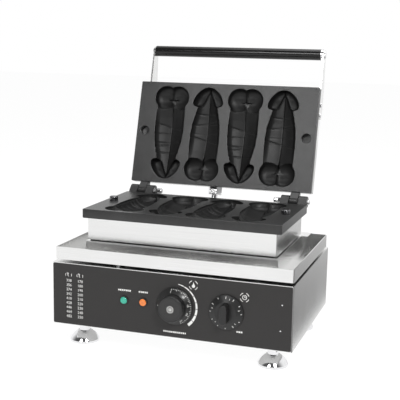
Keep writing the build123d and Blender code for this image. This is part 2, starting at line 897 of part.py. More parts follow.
# Lower mould plate with four moulds and the fixed hinge knuckles
with BuildPart() as lower_plate:
    with BuildSketch(level(skirt_top)):
        RectangleRounded(plate_w, plate_d, plate_corner)
    extrude(amount=plate_t)
    with BuildSketch(level(skirt_top)):
        RectangleRounded(pad_w, pad_d, pad_corner)
    extrude(amount=-pad_t)
    for hand in (-1, 1):
        for place in (-1, 1):
            with BuildSketch(side(hand * hinge_x + knuckle(place))):
                with Locations((hinge_y, hinge_z)):
                    Circle(knuckle_r)
                with Locations((plate_d / 2, parting - hinge_rise)):
                    Rectangle(web_root, lug_h, align=(Align.MAX, Align.MAX))
                make_hull()
                with Locations((hinge_y, hinge_z)):
                    Circle(pin_r + pin_fit, mode=Mode.SUBTRACT)
            extrude(amount=knuckle_l)
    for number, x in enumerate(mould_x):
        along = 1 if number % 2 == 0 else -1
        cut_mould(
            Plane(
                origin=(x, base_y - along * mould_l / 2, parting + shaft_rise),
                x_dir=(0, along, 0),
                z_dir=(0, 0, 1),
            )
        )
    with BuildSketch(level(parting)):
        with Locations((-stud_x, stud_y), (stud_x, stud_y)):
            Circle(stud_shank_r)
    extrude(amount=-stud_shank_l, mode=Mode.SUBTRACT)
    with BuildSketch(level(skirt_top)):
        with Locations(*corners(bolt_x, bolt_y)):
            Circle(bolt_r)
    extrude(amount=thread_l, mode=Mode.SUBTRACT)
keep(lower_plate, "lower_plate")

with BuildPart() as locating_studs:
    with BuildSketch(level(parting)):
        with Locations((-stud_x, stud_y), (stud_x, stud_y)):
            Circle(stud_r)
    extrude(amount=stud_h)
    fillet(locating_studs.faces().group_by(Axis.Z)[-1].edges(), stud_edge_r)
    with BuildSketch(level(parting)):
        with Locations((-stud_x, stud_y), (stud_x, stud_y)):
            Circle(stud_shank_r)
    extrude(amount=-stud_shank_l)
keep(locating_studs, "locating_studs")

# Hinge pins with domed heads outside and domed nuts inside
pin_in = hinge_x + knuckle(-1)
pin_out = hinge_x + knuckle(1) + knuckle_l
for hand, pin_name in ((-1, "hinge_pin_left"), (1, "hinge_pin_right")):
    with BuildPart() as hinge_pin:
        with BuildSketch(side(hand * (pin_in - pin_tail))):
            with Locations((hinge_y, hinge_z)):
                Circle(pin_r)
        extrude(amount=hand * (pin_out - pin_in + pin_tail))
        with BuildSketch(side(hand * pin_out)):
            with Locations((hinge_y, hinge_z)):
                Circle(pin_head_r)
        extrude(amount=hand * pin_head_h)
        fillet(hinge_pin.faces().sort_by(Axis.X)[-1 if hand > 0 else 0].edges(), pin_dome_r)
    keep(hinge_pin, pin_name)

with BuildPart() as hinge_nuts:
    for hand in (-1, 1):
        nut_base = hand * (pin_in - closed_gap)
        with BuildSketch(side(nut_base)):
            with Locations((hinge_y, hinge_z)):
                RegularPolygon(pin_nut_af / 2, 6, major_radius=False)
        extrude(amount=-hand * pin_nut_l / 2)
        with BuildSketch(side(nut_base)):
            with Locations((hinge_y, hinge_z)):
                Circle(pin_nut_af / 2)
        extrude(amount=-hand * pin_dome_l)
        dome_end = hinge_nuts.faces().filter_by(
            lambda face: abs(face.center().X - nut_base + hand * pin_dome_l) < seam_fit
        )
        fillet(dome_end.edges(), pin_dome_r)
        with BuildSketch(side(hand * pin_in)):
            with Locations((hinge_y, hinge_z)):
                Circle(pin_r)
        extrude(amount=-hand * pin_tail, mode=Mode.SUBTRACT)
keep(hinge_nuts, "hinge_nuts")

# Lower heating element, reflector and ceramic wool, inside the skirt
heater_z = skirt_top - pad_t - heater_fit - heater_r
reflector_top = heater_z - heater_r - rest_gap
wool_bottom = skirt_bottom + sheet


def heater(plane, label):
    """Bent tube heater whose middle line lies in the plane."""
    with BuildPart() as tube:
        with BuildLine(plane) as route:
            FilletPolyline(*heater_path, radius=heater_bend_r)
        with BuildSketch(Plane(origin=route.line @ 0, z_dir=route.line % 0)):
            Circle(heater_r)
        sweep(path=route.line)
    keep(tube, label)


heater(level(heater_z), "lower_heater")

with BuildPart() as lower_reflector:
    with BuildSketch(level(reflector_top)):
        RectangleRounded(wool_w, wool_d, skirt_corner)
    extrude(amount=-reflector_t)
keep(lower_reflector, "lower_reflector")

with BuildPart() as lower_wool:
    with BuildSketch(level(wool_bottom)):
        RectangleRounded(wool_w, wool_d, skirt_corner)
    extrude(amount=reflector_top - reflector_t - wool_bottom)
keep(lower_wool, "lower_wool")

# Thermostat bulb clipped under the lower plate's pad
bulb_z = skirt_top - pad_t - heater_fit - bulb_r
with BuildPart() as thermostat_bulb:
    with BuildSketch(front(bulb_l / 2 + bulb_rear)):
        with Locations((bulb_x, bulb_z)):
            Circle(bulb_r)
    extrude(amount=bulb_l)
    fillet(thermostat_bulb.faces().filter_by(Axis.Y).edges(), bulb_edge_r)
keep(thermostat_bulb, "thermostat_bulb")

# Upper mould plate, built in the lid's own planes
lid_mid = -hinge_y
with BuildPart() as upper_plate:
    with BuildSketch(lid_level(mould_face)):
        with Locations((0, lid_mid)):
            RectangleRounded(plate_w, plate_d, plate_corner)
    extrude(amount=plate_t)
    with BuildSketch(lid_level(plate_back)):
        with Locations((0, lid_mid)):
            RectangleRounded(pad_w, pad_d, pad_corner)
    extrude(amount=pad_t)
    for hand in (-1, 1):
        with BuildSketch(lid_side(hand * hinge_x + knuckle(0))):
            Circle(knuckle_r)
            with Locations((-hinge_back, mould_face + hinge_rise)):
                Rectangle(web_root, lug_h, align=(Align.MAX, Align.MIN))
            make_hull()
            Circle(pin_r + pin_fit, mode=Mode.SUBTRACT)
        extrude(amount=knuckle_l)
    for number, x in enumerate(mould_x):
        along = 1 if number % 2 == 0 else -1
        cut_mould(
            Plane(
                origin=lid_point(x, lid_mid - along * mould_l / 2, mould_face - shaft_rise),
                x_dir=Vector(*lid_rearward) * along,
                z_dir=Vector(*lid_out) * -1,
            )
        )
    with BuildSketch(lid_level(mould_face)):
        with Locations((-stud_x, lid_mid + stud_y), (stud_x, lid_mid + stud_y)):
            Circle(stud_r + stud_hole_fit)
    extrude(amount=stud_hole_depth, mode=Mode.SUBTRACT)
    with BuildSketch(lid_level(plate_back)):
        with Locations(*corners(lid_bolt_x, lid_bolt_y, lid_mid)):
            Circle(bolt_r)
    extrude(amount=-thread_l, mode=Mode.SUBTRACT)
keep(upper_plate, "upper_plate")

lid_heater_z = plate_back + pad_t + heater_fit + heater_r
heater(
    Plane(origin=lid_point(0, lid_mid, lid_heater_z), x_dir=(1, 0, 0), z_dir=lid_out), "upper_heater"
)

lid_reflector = lid_heater_z + heater_r + rest_gap
with BuildPart() as upper_reflector:
    with BuildSketch(lid_level(lid_reflector)):
        with Locations((0, lid_mid)):
            RectangleRounded(wool_w, wool_d, skirt_corner)
    extrude(amount=reflector_t)
keep(upper_reflector, "upper_reflector")

with BuildPart() as upper_wool:
    with BuildSketch(lid_level(lid_reflector + reflector_t)):
        with Locations((0, lid_mid)):
            RectangleRounded(wool_w, wool_d, skirt_corner)
    extrude(amount=cover_top - sheet - rest_gap - lid_reflector - reflector_t)
keep(upper_wool, "upper_wool")

# Lid cover: folded box over the back of the upper plate
arm_front = -(hinge_y + plate_d / 2)
arm_holes = [
    (arm_front + arm_hole_in + i * arm_hole_pitch, arm_neck_low + arm_hole_rise) for i in (0, 1)
]
lid_gland_z = mould_face + lid_gland_rise
with BuildPart() as lid_cover:
    with BuildSketch(lid_level(plate_back)):
        with Locations((0, lid_mid)):
            RectangleRounded(cover_w, cover_d, cover_corner)
    extrude(amount=cover_h)
    fillet(lid_cover.faces().sort_by(Axis((0, 0, 0), lid_out))[-1].edges(), cover_edge_r)
    with BuildSketch(lid_level(plate_back)):
        with Locations((0, lid_mid)):
            Rectangle(cover_w - 2 * sheet, cover_d - 2 * sheet)
    extrude(amount=cover_h - sheet, mode=Mode.SUBTRACT)
    with BuildSketch(lid_level(cover_top)):
        with Locations(*corners(lid_bolt_x, lid_bolt_y, lid_mid)):
            Circle(small_screw_r + hole_fit)
    extrude(amount=-sheet, mode=Mode.SUBTRACT)
    with BuildSketch(lid_side(-cover_w / 2)):
        with Locations(*arm_holes):
            Circle(small_screw_r + hole_fit)
    extrude(amount=cover_w, mode=Mode.SUBTRACT)
    with BuildSketch(lid_rear(lid_mid + cover_d / 2)):
        with Locations((-lid_gland_x, lid_gland_z)):
            Circle(gland_thread_r + hole_fit)
    extrude(amount=-sheet, mode=Mode.SUBTRACT)
keep(lid_cover, "lid_cover")

with BuildPart() as cover_standoffs:
    with BuildSketch(lid_level(plate_back)):
        with Locations(*corners(lid_bolt_x, lid_bolt_y, lid_mid)):
            RegularPolygon(standoff_r, 6)
    extrude(amount=cover_h - sheet)
    with BuildSketch(lid_level(plate_back)):
        with Locations(*corners(lid_bolt_x, lid_bolt_y, lid_mid)):
            Circle(bolt_r)
    extrude(amount=-thread_l)
    with BuildSketch(lid_level(cover_top - sheet)):
        with Locations(*corners(lid_bolt_x, lid_bolt_y, lid_mid)):
            Circle(small_screw_r)
    extrude(amount=-thread_l, mode=Mode.SUBTRACT)
keep(cover_standoffs, "cover_standoffs")

with BuildPart() as cover_screws:
    with BuildSketch(lid_level(cover_top)):
        with Locations(*corners(lid_bolt_x, lid_bolt_y, lid_mid)):
            Circle(small_head_r)
    extrude(amount=small_head_h)
    with BuildSketch(lid_level(cover_top)):
        with Locations(*corners(lid_bolt_x, lid_bolt_y, lid_mid)):
            Circle(small_screw_r)
    extrude(amount=-(thread_l + sheet))
keep(cover_screws, "cover_screws")

lid_gland_plane = Plane(
    origin=lid_point(lid_gland_x, lid_mid + cover_d / 2, lid_gland_z),
    x_dir=(-1, 0, 0),
    z_dir=lid_rearward,
)
gland(lid_gland_plane, "lid_gland", sheet + gland_nut_t)
ferrule(lid_gland_plane, "lid_ferrule")

# Handle: flat arms on the cover's sides, steel rod, dark grip and end screws
arm_outline = [
    (arm_front - arm_neck_out, arm_neck_low),
    (arm_front - arm_neck_out - arm_neck_lean, arm_neck_high),
    (arm_front + arm_crown_in, arm_crown),
    (arm_front + arm_root_in, arm_neck_high),
    (arm_front + arm_root_in, arm_neck_low),
]
for hand, arm_name in ((-1, "handle_arm_left"), (1, "handle_arm_right")):
    with BuildPart() as arm:
        with BuildSketch(lid_side(hand * cover_w / 2)) as outline:
            with Locations((grip_y, grip_z)):
                Circle(arm_tip_r)
            Polygon(
                arm_outline[0],
                arm_outline[1],
                (arm_front, arm_neck_high),
                (arm_front, arm_neck_low),
                align=None,
            )
            make_hull()
            Polygon(*arm_outline, align=None)
            root_corners = outline.vertices().sort_by(Axis.X)[-2:]
            fillet(root_corners, arm_corner_r)
            with Locations((grip_y, grip_z)):
                Circle(bolt_r + hole_fit, mode=Mode.SUBTRACT)
            with Locations(*arm_holes):
                Circle(small_screw_r + hole_fit, mode=Mode.SUBTRACT)
        extrude(amount=hand * arm_t)
    keep(arm, arm_name)

with BuildPart() as arm_screws:
    for hand in (-1, 1):
        with BuildSketch(lid_side(hand * (cover_w / 2 + arm_t))):
            with Locations(*arm_holes):
                Circle(small_head_r)
        extrude(amount=hand * small_head_h)
        with BuildSketch(lid_side(hand * (cover_w / 2 + arm_t))):
            with Locations(*arm_holes):
                Circle(small_screw_r)
        extrude(amount=-hand * (arm_t + sheet + small_tail))
keep(arm_screws, "arm_screws")

with BuildPart() as handle_grip:
    with BuildSketch(lid_side(-cover_w / 2)):
        with Locations((grip_y, grip_z)):
            Circle(grip_r)
    extrude(amount=cover_w)
    fillet(handle_grip.faces().filter_by(Axis.X).edges(), grip_edge_r)
    with BuildSketch(lid_side(-cover_w / 2)):
        with Locations((grip_y, grip_z)):
            Circle(rod_r + shaft_fit)
    extrude(amount=cover_w, mode=Mode.SUBTRACT)
keep(handle_grip, "handle_grip")

with BuildPart() as handle_rod:
    with BuildSketch(lid_side(-cover_w / 2)):
        with Locations((grip_y, grip_z)):
            Circle(rod_r)
    extrude(amount=cover_w)
    for hand in (-1, 1):
        with BuildSketch(lid_side(hand * cover_w / 2)):
            with Locations((grip_y, grip_z)):
                Circle(bolt_r)
        extrude(amount=-hand * 2 * thread_l, mode=Mode.SUBTRACT)
keep(handle_rod, "handle_rod")

with BuildPart() as handle_screws:
    for hand in (-1, 1):
        with BuildSketch(lid_side(hand * (cover_w / 2 + arm_t))):
            with Locations((grip_y, grip_z)):
                Circle(bolt_head_r)
        extrude(amount=hand * small_head_h)
        with BuildSketch(lid_side(hand * (cover_w / 2 + arm_t))):
            with Locations((grip_y, grip_z)):
                Circle(bolt_r)
        extrude(amount=-hand * (arm_t + 2 * thread_l - rod_screw_clear))
keep(handle_screws, "handle_screws")

print("hinge axis at y", round(base_y + hinge_y, 3), "z", round(hinge_z, 3))
print("base centre at y", round(base_y, 3))
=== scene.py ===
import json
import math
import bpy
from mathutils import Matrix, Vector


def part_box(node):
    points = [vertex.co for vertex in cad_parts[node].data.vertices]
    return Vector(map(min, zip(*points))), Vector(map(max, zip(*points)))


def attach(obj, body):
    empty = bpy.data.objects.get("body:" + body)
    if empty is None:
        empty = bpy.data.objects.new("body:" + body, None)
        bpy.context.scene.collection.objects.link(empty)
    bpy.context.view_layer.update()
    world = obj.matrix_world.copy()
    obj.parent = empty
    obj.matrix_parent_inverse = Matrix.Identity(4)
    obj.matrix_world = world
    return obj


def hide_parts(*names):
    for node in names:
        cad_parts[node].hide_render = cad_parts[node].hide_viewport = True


bl_info = {
    "name": "Four mould waffle baker",
    "version": (1, 0, 0),
    "blender": (4, 5, 0),
    "location": "View3D > Sidebar > Waffle baker",
    "description": "Dresses the packed waffle baker: cast plates, steel, dials, panel marks and stage",
    "category": "Object",
}

import bpy
import numpy as np
from mathutils import Matrix, Vector

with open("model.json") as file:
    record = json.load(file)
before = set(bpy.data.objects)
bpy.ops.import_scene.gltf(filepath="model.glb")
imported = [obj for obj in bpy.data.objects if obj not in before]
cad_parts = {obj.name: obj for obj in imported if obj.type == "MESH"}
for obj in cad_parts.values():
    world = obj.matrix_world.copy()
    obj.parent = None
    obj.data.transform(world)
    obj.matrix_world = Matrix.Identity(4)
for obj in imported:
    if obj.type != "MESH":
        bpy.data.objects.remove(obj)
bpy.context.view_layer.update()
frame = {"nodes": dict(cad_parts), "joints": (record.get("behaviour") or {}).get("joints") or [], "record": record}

MM = 0.001

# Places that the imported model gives, in millimetres
JOINTS = {joint["name"]: joint["pos_m"] for joint in frame["joints"]}
BASE_LOW, BASE_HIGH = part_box("base_shell")
MID_Y = (BASE_LOW.y + BASE_HIGH.y) / 2 / MM
PANEL_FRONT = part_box("control_panel")[0].y / MM
STUD_ROOT = 8.0
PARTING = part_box("locating_studs")[0].z / MM + STUD_ROOT
HINGE_Y = JOINTS["lid_hinge"][1] / MM
HINGE_Z = JOINTS["lid_hinge"][2] / MM
LEAN = math.radians(106.0)
KNOB_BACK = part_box("temperature_knob")[1].y / MM
TEMPERATURE_X = JOINTS["temperature_turn"][0] / MM
TIMER_X = JOINTS["timer_turn"][0] / MM
CONTROL_Z = JOINTS["temperature_turn"][2] / MM

# Cast plates, in millimetres
PLATE_W, PLATE_D, PLATE_T = 294.0, 164.0, 13.2
PAD_W, PAD_D, PAD_T, PAD_CORNER = 240.0, 124.0, 6.0, 12.0
EDGE_INSET = 0.7
FACE_FROM_HINGE = -0.9
MOULD_PITCH = 61.4
MOULD_L = 151.0
HINGE_BACK = 14.3
HINGE_X, KNUCKLE_R, KNUCKLE_L, KNUCKLE_GAP, KNUCKLE_EDGE = 124.0, 8.7, 13.2, 0.5, 0.6
WEB_H = 9.5
STUD_X, STUD_Y, STUD_BORE, STUD_HOLE_R, STUD_HOLE_DEPTH = 133.2, -1.5, 3.0, 7.3, 9.0
RING_POINTS = 48

# One mould, in millimetres: u runs along it from the lobe end, v across it from its middle line
LOBE_R, LOBE_V, LOBE_SWEEP = 19.0, 9.7, (-30.7, 130.0)
SHAFT_RIM = (
    (32.6, 23.4), (40, 23.7), (54, 24.2), (70, 24.2), (85, 23.2), (95, 21.6), (105, 19.4), (113, 17.3),
    (118.5, 16.3))
HEAD_RIM = (
    (119.0, 17.6), (119.8, 20.6), (121.2, 23.3), (123.6, 24.6), (126.8, 24.8), (130.5, 24.0),
    (134.8, 22.1), (139.6, 18.9), (144.0, 15.0), (147.8, 10.3), (150.2, 5.2), (MOULD_L, 0.0))

# Values that change along a mould, as (u, value): depth on the middle line, half width that the flanks
# fall over, half width of the strip between the head's cheeks, half width of the head, and the depth that
# the plate's metal allows
FLOOR_LINE = (
    (30, 8.2), (36, 9.6), (50, 12.6), (65, 14.8), (80, 15), (100, 14.4), (120, 12.6), (135, 11.2),
    (145, 9.4), (151, 8))
FLANK_LINE = ((0, 24), (58, 24.3), (92, 21.9), (118, 17), (151, 14))
STRIP_LINE = (
    (116, 20), (118.6, 16.8), (120.5, 12.2), (124, 9.2), (130, 6.6), (137, 4.1), (145.5, 0.3), (151, 0.0))
HEAD_LINE = (
    (118, 16.4), (120, 20.8), (122, 24), (126, 24.8), (130, 24.1), (135, 22), (140, 18.6), (145, 13.9),
    (151, 4.0))
METAL_LINE = ((0, 11.9), (13.5, 12.0), (24, 15.0), (128, 16.0), (137.5, 12.0), (151, 11.9))

# Where the shaft and the head start, and how far the shaft's flanks fall away
SHAFT_START, NECK_U, FLANK_FALL, FLANK_SLOPE = 21, 118, 7.0, 1.2
BAND_REACH, BAND_W, GROOVE_W = 24.0, 0.85, 0.55
BOWL_U, BOWL_R, BOWL_DEPTH, BOWL_RIDGE = 19.6, 20.4, 14.0, 1.6
CHEEK_EDGE, CHEEK_DEPTH, CHEEK_RIDGE, STRIP_RIDGE = 7.6, 6.0, 1.5, 1.1
# How softly the depth meets the metal's limit, and how far the rim's wall reaches inwards
METAL_BLEND, BOWL_WALL, SHAFT_WALL = 1.2, 3.0, 6.2

# Thin bands across a mould: where each starts and ends along it, left and right, and how strong it is
BANDS = (
    (60.5, 71.8, 1.0), (77.2, 76.0, 0.7), (91.5, 90.5, 0.8), (99.0, 88.5, 0.8), (107.5, 108.5, 0.9))

# Camera in metres and degrees, solved from the photo together with the proportions
CAMERA_PLACE = (0.40816, -1.25676, 0.440)
CAMERA_YAW, CAMERA_PITCH, CAMERA_ROLL = 18.218, -10.312, 1.067
CAMERA_LENS, CAMERA_SHIFT = 80.45, (-0.00155, -0.00165)


# ---------------------------------------------------------------- user settings

class WafflePlateSettings(bpy.types.PropertyGroup):
    rings: bpy.props.IntProperty(
        name="Mould rings", description="Rows of faces from a mould's rim to its middle line",
        default=40, min=12, max=60)
    rim_points: bpy.props.IntProperty(
        name="Rim points", description="Points along half of a mould's rim",
        default=190, min=60, max=300)
    wrap_depth: bpy.props.FloatProperty(
        name="Band depth", description="Depth of the thin bands across the moulds, in millimetres",
        default=0.95, min=0.0, max=3.0)
    centre_depth: bpy.props.FloatProperty(
        name="Middle groove", description="Depth of the groove along a mould's middle, in millimetres",
        default=1.0, min=0.0, max=3.0)


class WaffleFinishSettings(bpy.types.PropertyGroup):
    steel: bpy.props.FloatVectorProperty(
        name="Steel", description="Colour of the brushed sheet", subtype="COLOR",
        default=(0.80, 0.80, 0.795))
    cast: bpy.props.FloatVectorProperty(
        name="Cast coat", description="Colour of the release coat on the plates", subtype="COLOR",
        default=(0.062, 0.062, 0.062))
    # Colour inside the moulds: near-black as painted shade of the hollows; the moulds' gloss also differs from the
    # plate face
    hollow: bpy.props.FloatVectorProperty(
        name="Mould coat and painted shade", description="Colour inside the moulds, darkened as painted shade", subtype="COLOR",
        default=(0.006, 0.006, 0.006))
    film: bpy.props.FloatVectorProperty(
        name="Panel film", description="Colour of the control panel", subtype="COLOR",
        default=(0.027, 0.0255, 0.025))
    ink: bpy.props.FloatVectorProperty(
        name="Print", description="Colour of the panel's printed marks", subtype="COLOR",
        default=(0.82, 0.82, 0.80))
    brush_length: bpy.props.FloatProperty(
        name="Brush length", description="Length of the brush lines in the sheet",
        default=0.12, min=0.01, subtype="DISTANCE", unit="LENGTH")


class WaffleStageSettings(bpy.types.PropertyGroup):
    key_power: bpy.props.FloatProperty(
        name="Key", description="Power of the lamp at the right, in watts", default=24.0, min=0.0)
    fill_power: bpy.props.FloatProperty(
        name="Fill", description="Power of the lamp at the left, in watts", default=9.0, min=0.0)
    top_power: bpy.props.FloatProperty(
        name="Top", description="Power of the lamp overhead, in watts", default=10.0, min=0.0)
    sky: bpy.props.FloatProperty(
        name="Sky", description="Strength of the room's even light", default=0.42, min=0.0)
    front_room: bpy.props.FloatProperty(
        name="Front room", description="How bright reflections show the room behind the cook",
        default=0.1, min=0.0, max=1.0)


# ---------------------------------------------------------------- mesh tools

def build_mesh(name, points, faces, body, material, crease=35.0):
    """A named piece from points in millimetres and a list of face arrays, one row per face."""
    mesh = bpy.data.meshes.new(name)
    points = np.asarray(points, np.float32).reshape(-1, 3) * MM
    arrays = [np.asarray(f, np.int32) for f in faces]
    mesh.vertices.add(len(points))
    mesh.vertices.foreach_set("co", points.ravel())
    sizes = np.concatenate([np.full(len(f), f.shape[1], np.int32) for f in arrays])
    corner = np.concatenate([f.ravel() for f in arrays])
    mesh.loops.add(len(corner))
    mesh.loops.foreach_set("vertex_index", corner)
    mesh.polygons.add(len(sizes))
    starts = np.concatenate([[0], np.cumsum(sizes)[:-1]]).astype(np.int32)
    mesh.polygons.foreach_set("loop_start", starts)
    mesh.update(calc_edges=True)
    mesh.validate()
    mesh.shade_smooth()
    mesh.set_sharp_from_angle(angle=math.radians(crease))
    piece = bpy.data.objects.new(name, mesh)
    bpy.context.scene.collection.objects.link(piece)
    mesh.materials.append(material)
    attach(piece, body)
    return piece


def grid_faces(rows, columns, start=0, close=False, flip=False):
    """Quads of a grid of points stored row by row; close joins the last column to the first."""
    r = np.arange(rows - 1)[:, None]
    c = np.arange(columns if close else columns - 1)[None, :]
    following = (c + 1) % columns
    quads = np.stack([
        r * columns + c, r * columns + following,
        (r + 1) * columns + following, (r + 1) * columns + c], axis=-1).reshape(-1, 4) + start
    return quads[:, ::-1] if flip else quads


def fan_face(count, start=0, flip=False):
    """One closing face over a loop of points."""
    loop = np.arange(count)[None, :] + start
    return loop[:, ::-1] if flip else loop


def lid_place(points):
    """Points of the open lid's face frame in the row frame: x, the distance behind the hinge axis along
    the lid, and the distance out of the face."""
    p = np.asarray(points, float)
    x, back, out = p[..., 0], p[..., 1], p[..., 2]
    y = HINGE_Y + back * math.cos(LEAN) + out * math.sin(LEAN)
    z = HINGE_Z - back * math.sin(LEAN) + out * math.cos(LEAN)
    return np.stack([x, y, z], axis=-1)


def base_place(points):
    """Points of the lower plate's frame (x, y about the base's middle, z from the parting face)."""
    p = np.asarray(points, float)
    return np.stack([p[..., 0], p[..., 1] + MID_Y, p[..., 2] + PARTING], axis=-1)


def smooth_line(points, per_span):
    """Curve through the points: each span is a cubic that takes its slopes from the neighbours."""
    p = np.asarray(points, float)
    padded = np.vstack([2 * p[0] - p[1], p, 2 * p[-1] - p[-2]])
    t = np.linspace(0, 1, per_span, endpoint=False)[None, :, None]
    a, b, c, d = (padded[k:len(padded) - 3 + k, None, :] for k in range(4))
    bend, twist = 2 * a - 5 * b + 4 * c - d, 3 * b - a - 3 * c + d
    curve = 0.5 * (2 * b + (c - a) * t + bend * t**2 + twist * t**3)
    return np.vstack([curve.reshape(-1, p.shape[1]), p[-1:]])


def evenly(points, count):
    """The same line cut into equal lengths."""
    step = np.hypot(*np.diff(points, axis=0).T)
    run = np.concatenate([[0], np.cumsum(step)])
    at = np.linspace(0, run[-1], count)
    return np.stack([np.interp(at, run, points[:, k]) for k in range(points.shape[1])], axis=-1)


def along(line, u):
    """Value at u of a line given as (u, value) pairs."""
    return np.interp(u, *zip(*line))


def nearest(points, u, v):
    """Number of the point that lies nearest to (u, v)."""
    return int(np.argmin(np.hypot(points[:, 0] - u, points[:, 1] - v)))


def both_halves(half, sign=1.0):
    """Values along half of a rim carried on round the other half."""
    return np.concatenate([half, sign * half[-2:0:-1]])


# ---------------------------------------------------------------- cast plates

def half_outline(count):
    """Half of a mould's rim, from the lobe end to the tip: a circular lobe, then a smooth line through
    the shaft, the neck and the head. Columns are u and v."""
    sweep = np.radians(np.linspace(*LOBE_SWEEP, 60))
    lobe = np.stack([LOBE_R - LOBE_R * np.cos(sweep), LOBE_V + LOBE_R * np.sin(sweep)], axis=-1)
    lobe[0, 1] = 0.0
    return evenly(np.vstack([lobe, smooth_line(SHAFT_RIM, 12), smooth_line(HEAD_RIM, 10)]), count)


def mould_rim(half):
    """The whole rim as a closed loop, with small swellings where the bands reach it."""
    u = both_halves(half[:, 0])
    v = both_halves(half[:, 1], -1.0)
    hand = np.sign(v)
    for left, right, strength in BANDS:
        at = np.where(hand > 0, right, left)
        v = v + hand * 0.75 * strength * np.exp(-((u - at) / 1.2) ** 2)
    return u, v


def shaft_depth(u, v, settings):
    """Depth of the shaft: two flanks that fall to a middle groove, crossed by the thin bands."""
    across = np.abs(v) / along(FLANK_LINE, u)
    depth = along(FLOOR_LINE, u) - FLANK_FALL * across ** 1.5 - FLANK_SLOPE * across
    depth = depth + settings.centre_depth * np.exp(-(v / GROOVE_W) ** 2)
    for left, right, strength in BANDS:
        line = left + (right - left) * (v / BAND_REACH + 1) / 2
        fade = 0.75 + 0.25 * np.clip(-v / 8.0, -1, 1) if strength < 0.85 else 1.0
        depth = depth + settings.wrap_depth * strength * fade * np.exp(-((u - line) / BAND_W) ** 2)
    return np.where(u > SHAFT_START, depth, -1.0)


def head_depth(u, v, shaft):
    """The shaft's depth with the head's two cheeks, curved hollows beside a narrowing strip."""
    a = np.abs(v)
    strip = along(STRIP_LINE, u)
    t = (a - strip) / np.maximum(along(HEAD_LINE, u) - strip, 0.5)
    cheek = CHEEK_EDGE + CHEEK_DEPTH * np.sqrt(np.clip(1 - ((t - 0.44) / 0.62) ** 2, 0, 1))
    cheek = cheek - CHEEK_RIDGE * np.exp(-((a - strip) / 1.0) ** 2)
    ridge = np.where(u > NECK_U, STRIP_RIDGE, 0) * np.exp(-((a - strip) / 0.9) ** 2)
    return np.where((u > NECK_U) & (a > strip), cheek, shaft - ridge)


def bowl_depth(u, v):
    """Depth of the two lobes, bowls with a ridge between them."""
    a = np.abs(v)
    radius = np.hypot(u - BOWL_U, a - LOBE_V)
    bowl = BOWL_DEPTH * np.sqrt(np.clip(1 - (radius / BOWL_R) ** 2, 0, 1))
    return bowl - BOWL_RIDGE * np.exp(-(a / 1.6) ** 2)


def mould_depth(u, v, edge, settings):
    """Depth of a mould under the parting face: the deeper of head and bowls, held within the plate's metal,
    with a curved wall that closes everything at the rim (edge is the distance to it)."""
    head = head_depth(u, v, shaft_depth(u, v, settings))
    bowl = bowl_depth(u, v)
    core, metal = np.maximum(head, bowl), along(METAL_LINE, u)
    core = -METAL_BLEND * np.log(np.exp(-core / METAL_BLEND) + np.exp(-metal / METAL_BLEND))
    width = np.where(bowl > head, BOWL_WALL, SHAFT_WALL)
    return core * np.sqrt(np.clip(1 - (1 - np.clip(edge / width, 0, 1)) ** 2, 0, 1))


def cell_border(half, run):
    """Points on the border of a mould's cell, one for each point of its rim."""
    low_u, high_u, side_v = -5.8, MOULD_L + 5.8, MOULD_PITCH / 2
    first, last = nearest(half, 5.6, 23.1), nearest(half, 138.0, 17.7)
    u = np.interp(half[:, 0], [5.6, 30, 115, 129, 138], [low_u, 30, 115, 129, high_u])
    v = np.full(len(half), side_v)
    u[:first + 1] = low_u
    v[:first + 1] = side_v * run[:first + 1] / run[first]
    u[last:] = high_u
    v[last:] = side_v * (run[-1] - run[last:]) / (run[-1] - run[last])
    return both_halves(u), both_halves(v, -1.0)


def mould_spine(half, run):
    """Points that the rings shrink on to: the middles of the lobes, then the mould's middle line."""
    keys = [run[nearest(half, a, b)] for a, b in (
        (2.7, 0), (0, 9.7), (19, 28.7), (32.3, 23.4), (46, 24), (60, 24.2), (MOULD_L, 0))]
    u = np.interp(run, keys, [BOWL_U, BOWL_U, BOWL_U, 24, 42, 60, 60])
    u = np.where(run > keys[5], np.clip(half[:, 0], 60, 139.0), u)
    v = np.interp(run, keys, [0, 7.8, LOBE_V, 3.0, 0, 0, 0])
    return both_halves(u), both_halves(v, -1.0)


def mould_surface(settings):
    """One mould and the flat face round it, in its own cell. Rings run from the cell's border to the rim,
    over a small lip, and shrink on to the spine, so the rim and the groove stay crisp."""
    half = half_outline(settings.rim_points)
    run = np.concatenate([[0], np.cumsum(np.hypot(*np.diff(half, axis=0).T))])
    u, v = mould_rim(half)
    cell_u, cell_v = cell_border(half, run)
    spine_u, spine_v = mould_spine(half, run)
    rows_u = [cell_u + (u - cell_u) * blend for blend in (0.0, 0.5, 0.9)]
    rows_v = [cell_v + (v - cell_v) * blend for blend in (0.0, 0.5, 0.9)]
    normal_u, normal_v = np.gradient(v), -np.gradient(u)
    size = np.maximum(np.hypot(normal_u, normal_v), 1e-9)
    normal_u, normal_v = normal_u / size, normal_v / size
    outward = np.sign(np.mean(normal_u * (u - 75) + normal_v * v))
    rows_u.append(u + outward * normal_u * 0.5)
    rows_v.append(v + outward * normal_v * 0.5)
    share = np.linspace(0, 1, settings.rings) ** 1.35
    inner_u = u[None, :] + (spine_u - u)[None, :] * share[:, None]
    inner_v = v[None, :] + (spine_v - v)[None, :] * share[:, None]
    rim = np.stack([u, v], axis=-1)
    flat = np.stack([inner_u.ravel(), inner_v.ravel()], axis=-1)
    edge = np.sqrt(((flat[:, None, :] - rim[None, ::2, :]) ** 2).sum(-1)).min(1).reshape(inner_u.shape)
    edge[0] = 0.0
    depth = mould_depth(inner_u, inner_v, edge, settings) + 0.3
    depth[0] = 0.25
    grid_z = np.vstack([np.zeros((len(rows_u), len(u))), -depth])
    return np.vstack([rows_u, inner_u]), np.vstack([rows_v, inner_v]), grid_z, len(rows_u)


def ring(x, y, radius, z, count=RING_POINTS):
    """Circle of points."""
    angle = np.linspace(0, 2 * np.pi, count, endpoint=False)
    return np.stack([x + radius * np.cos(angle), y + radius * np.sin(angle), np.full(count, z)], axis=-1)


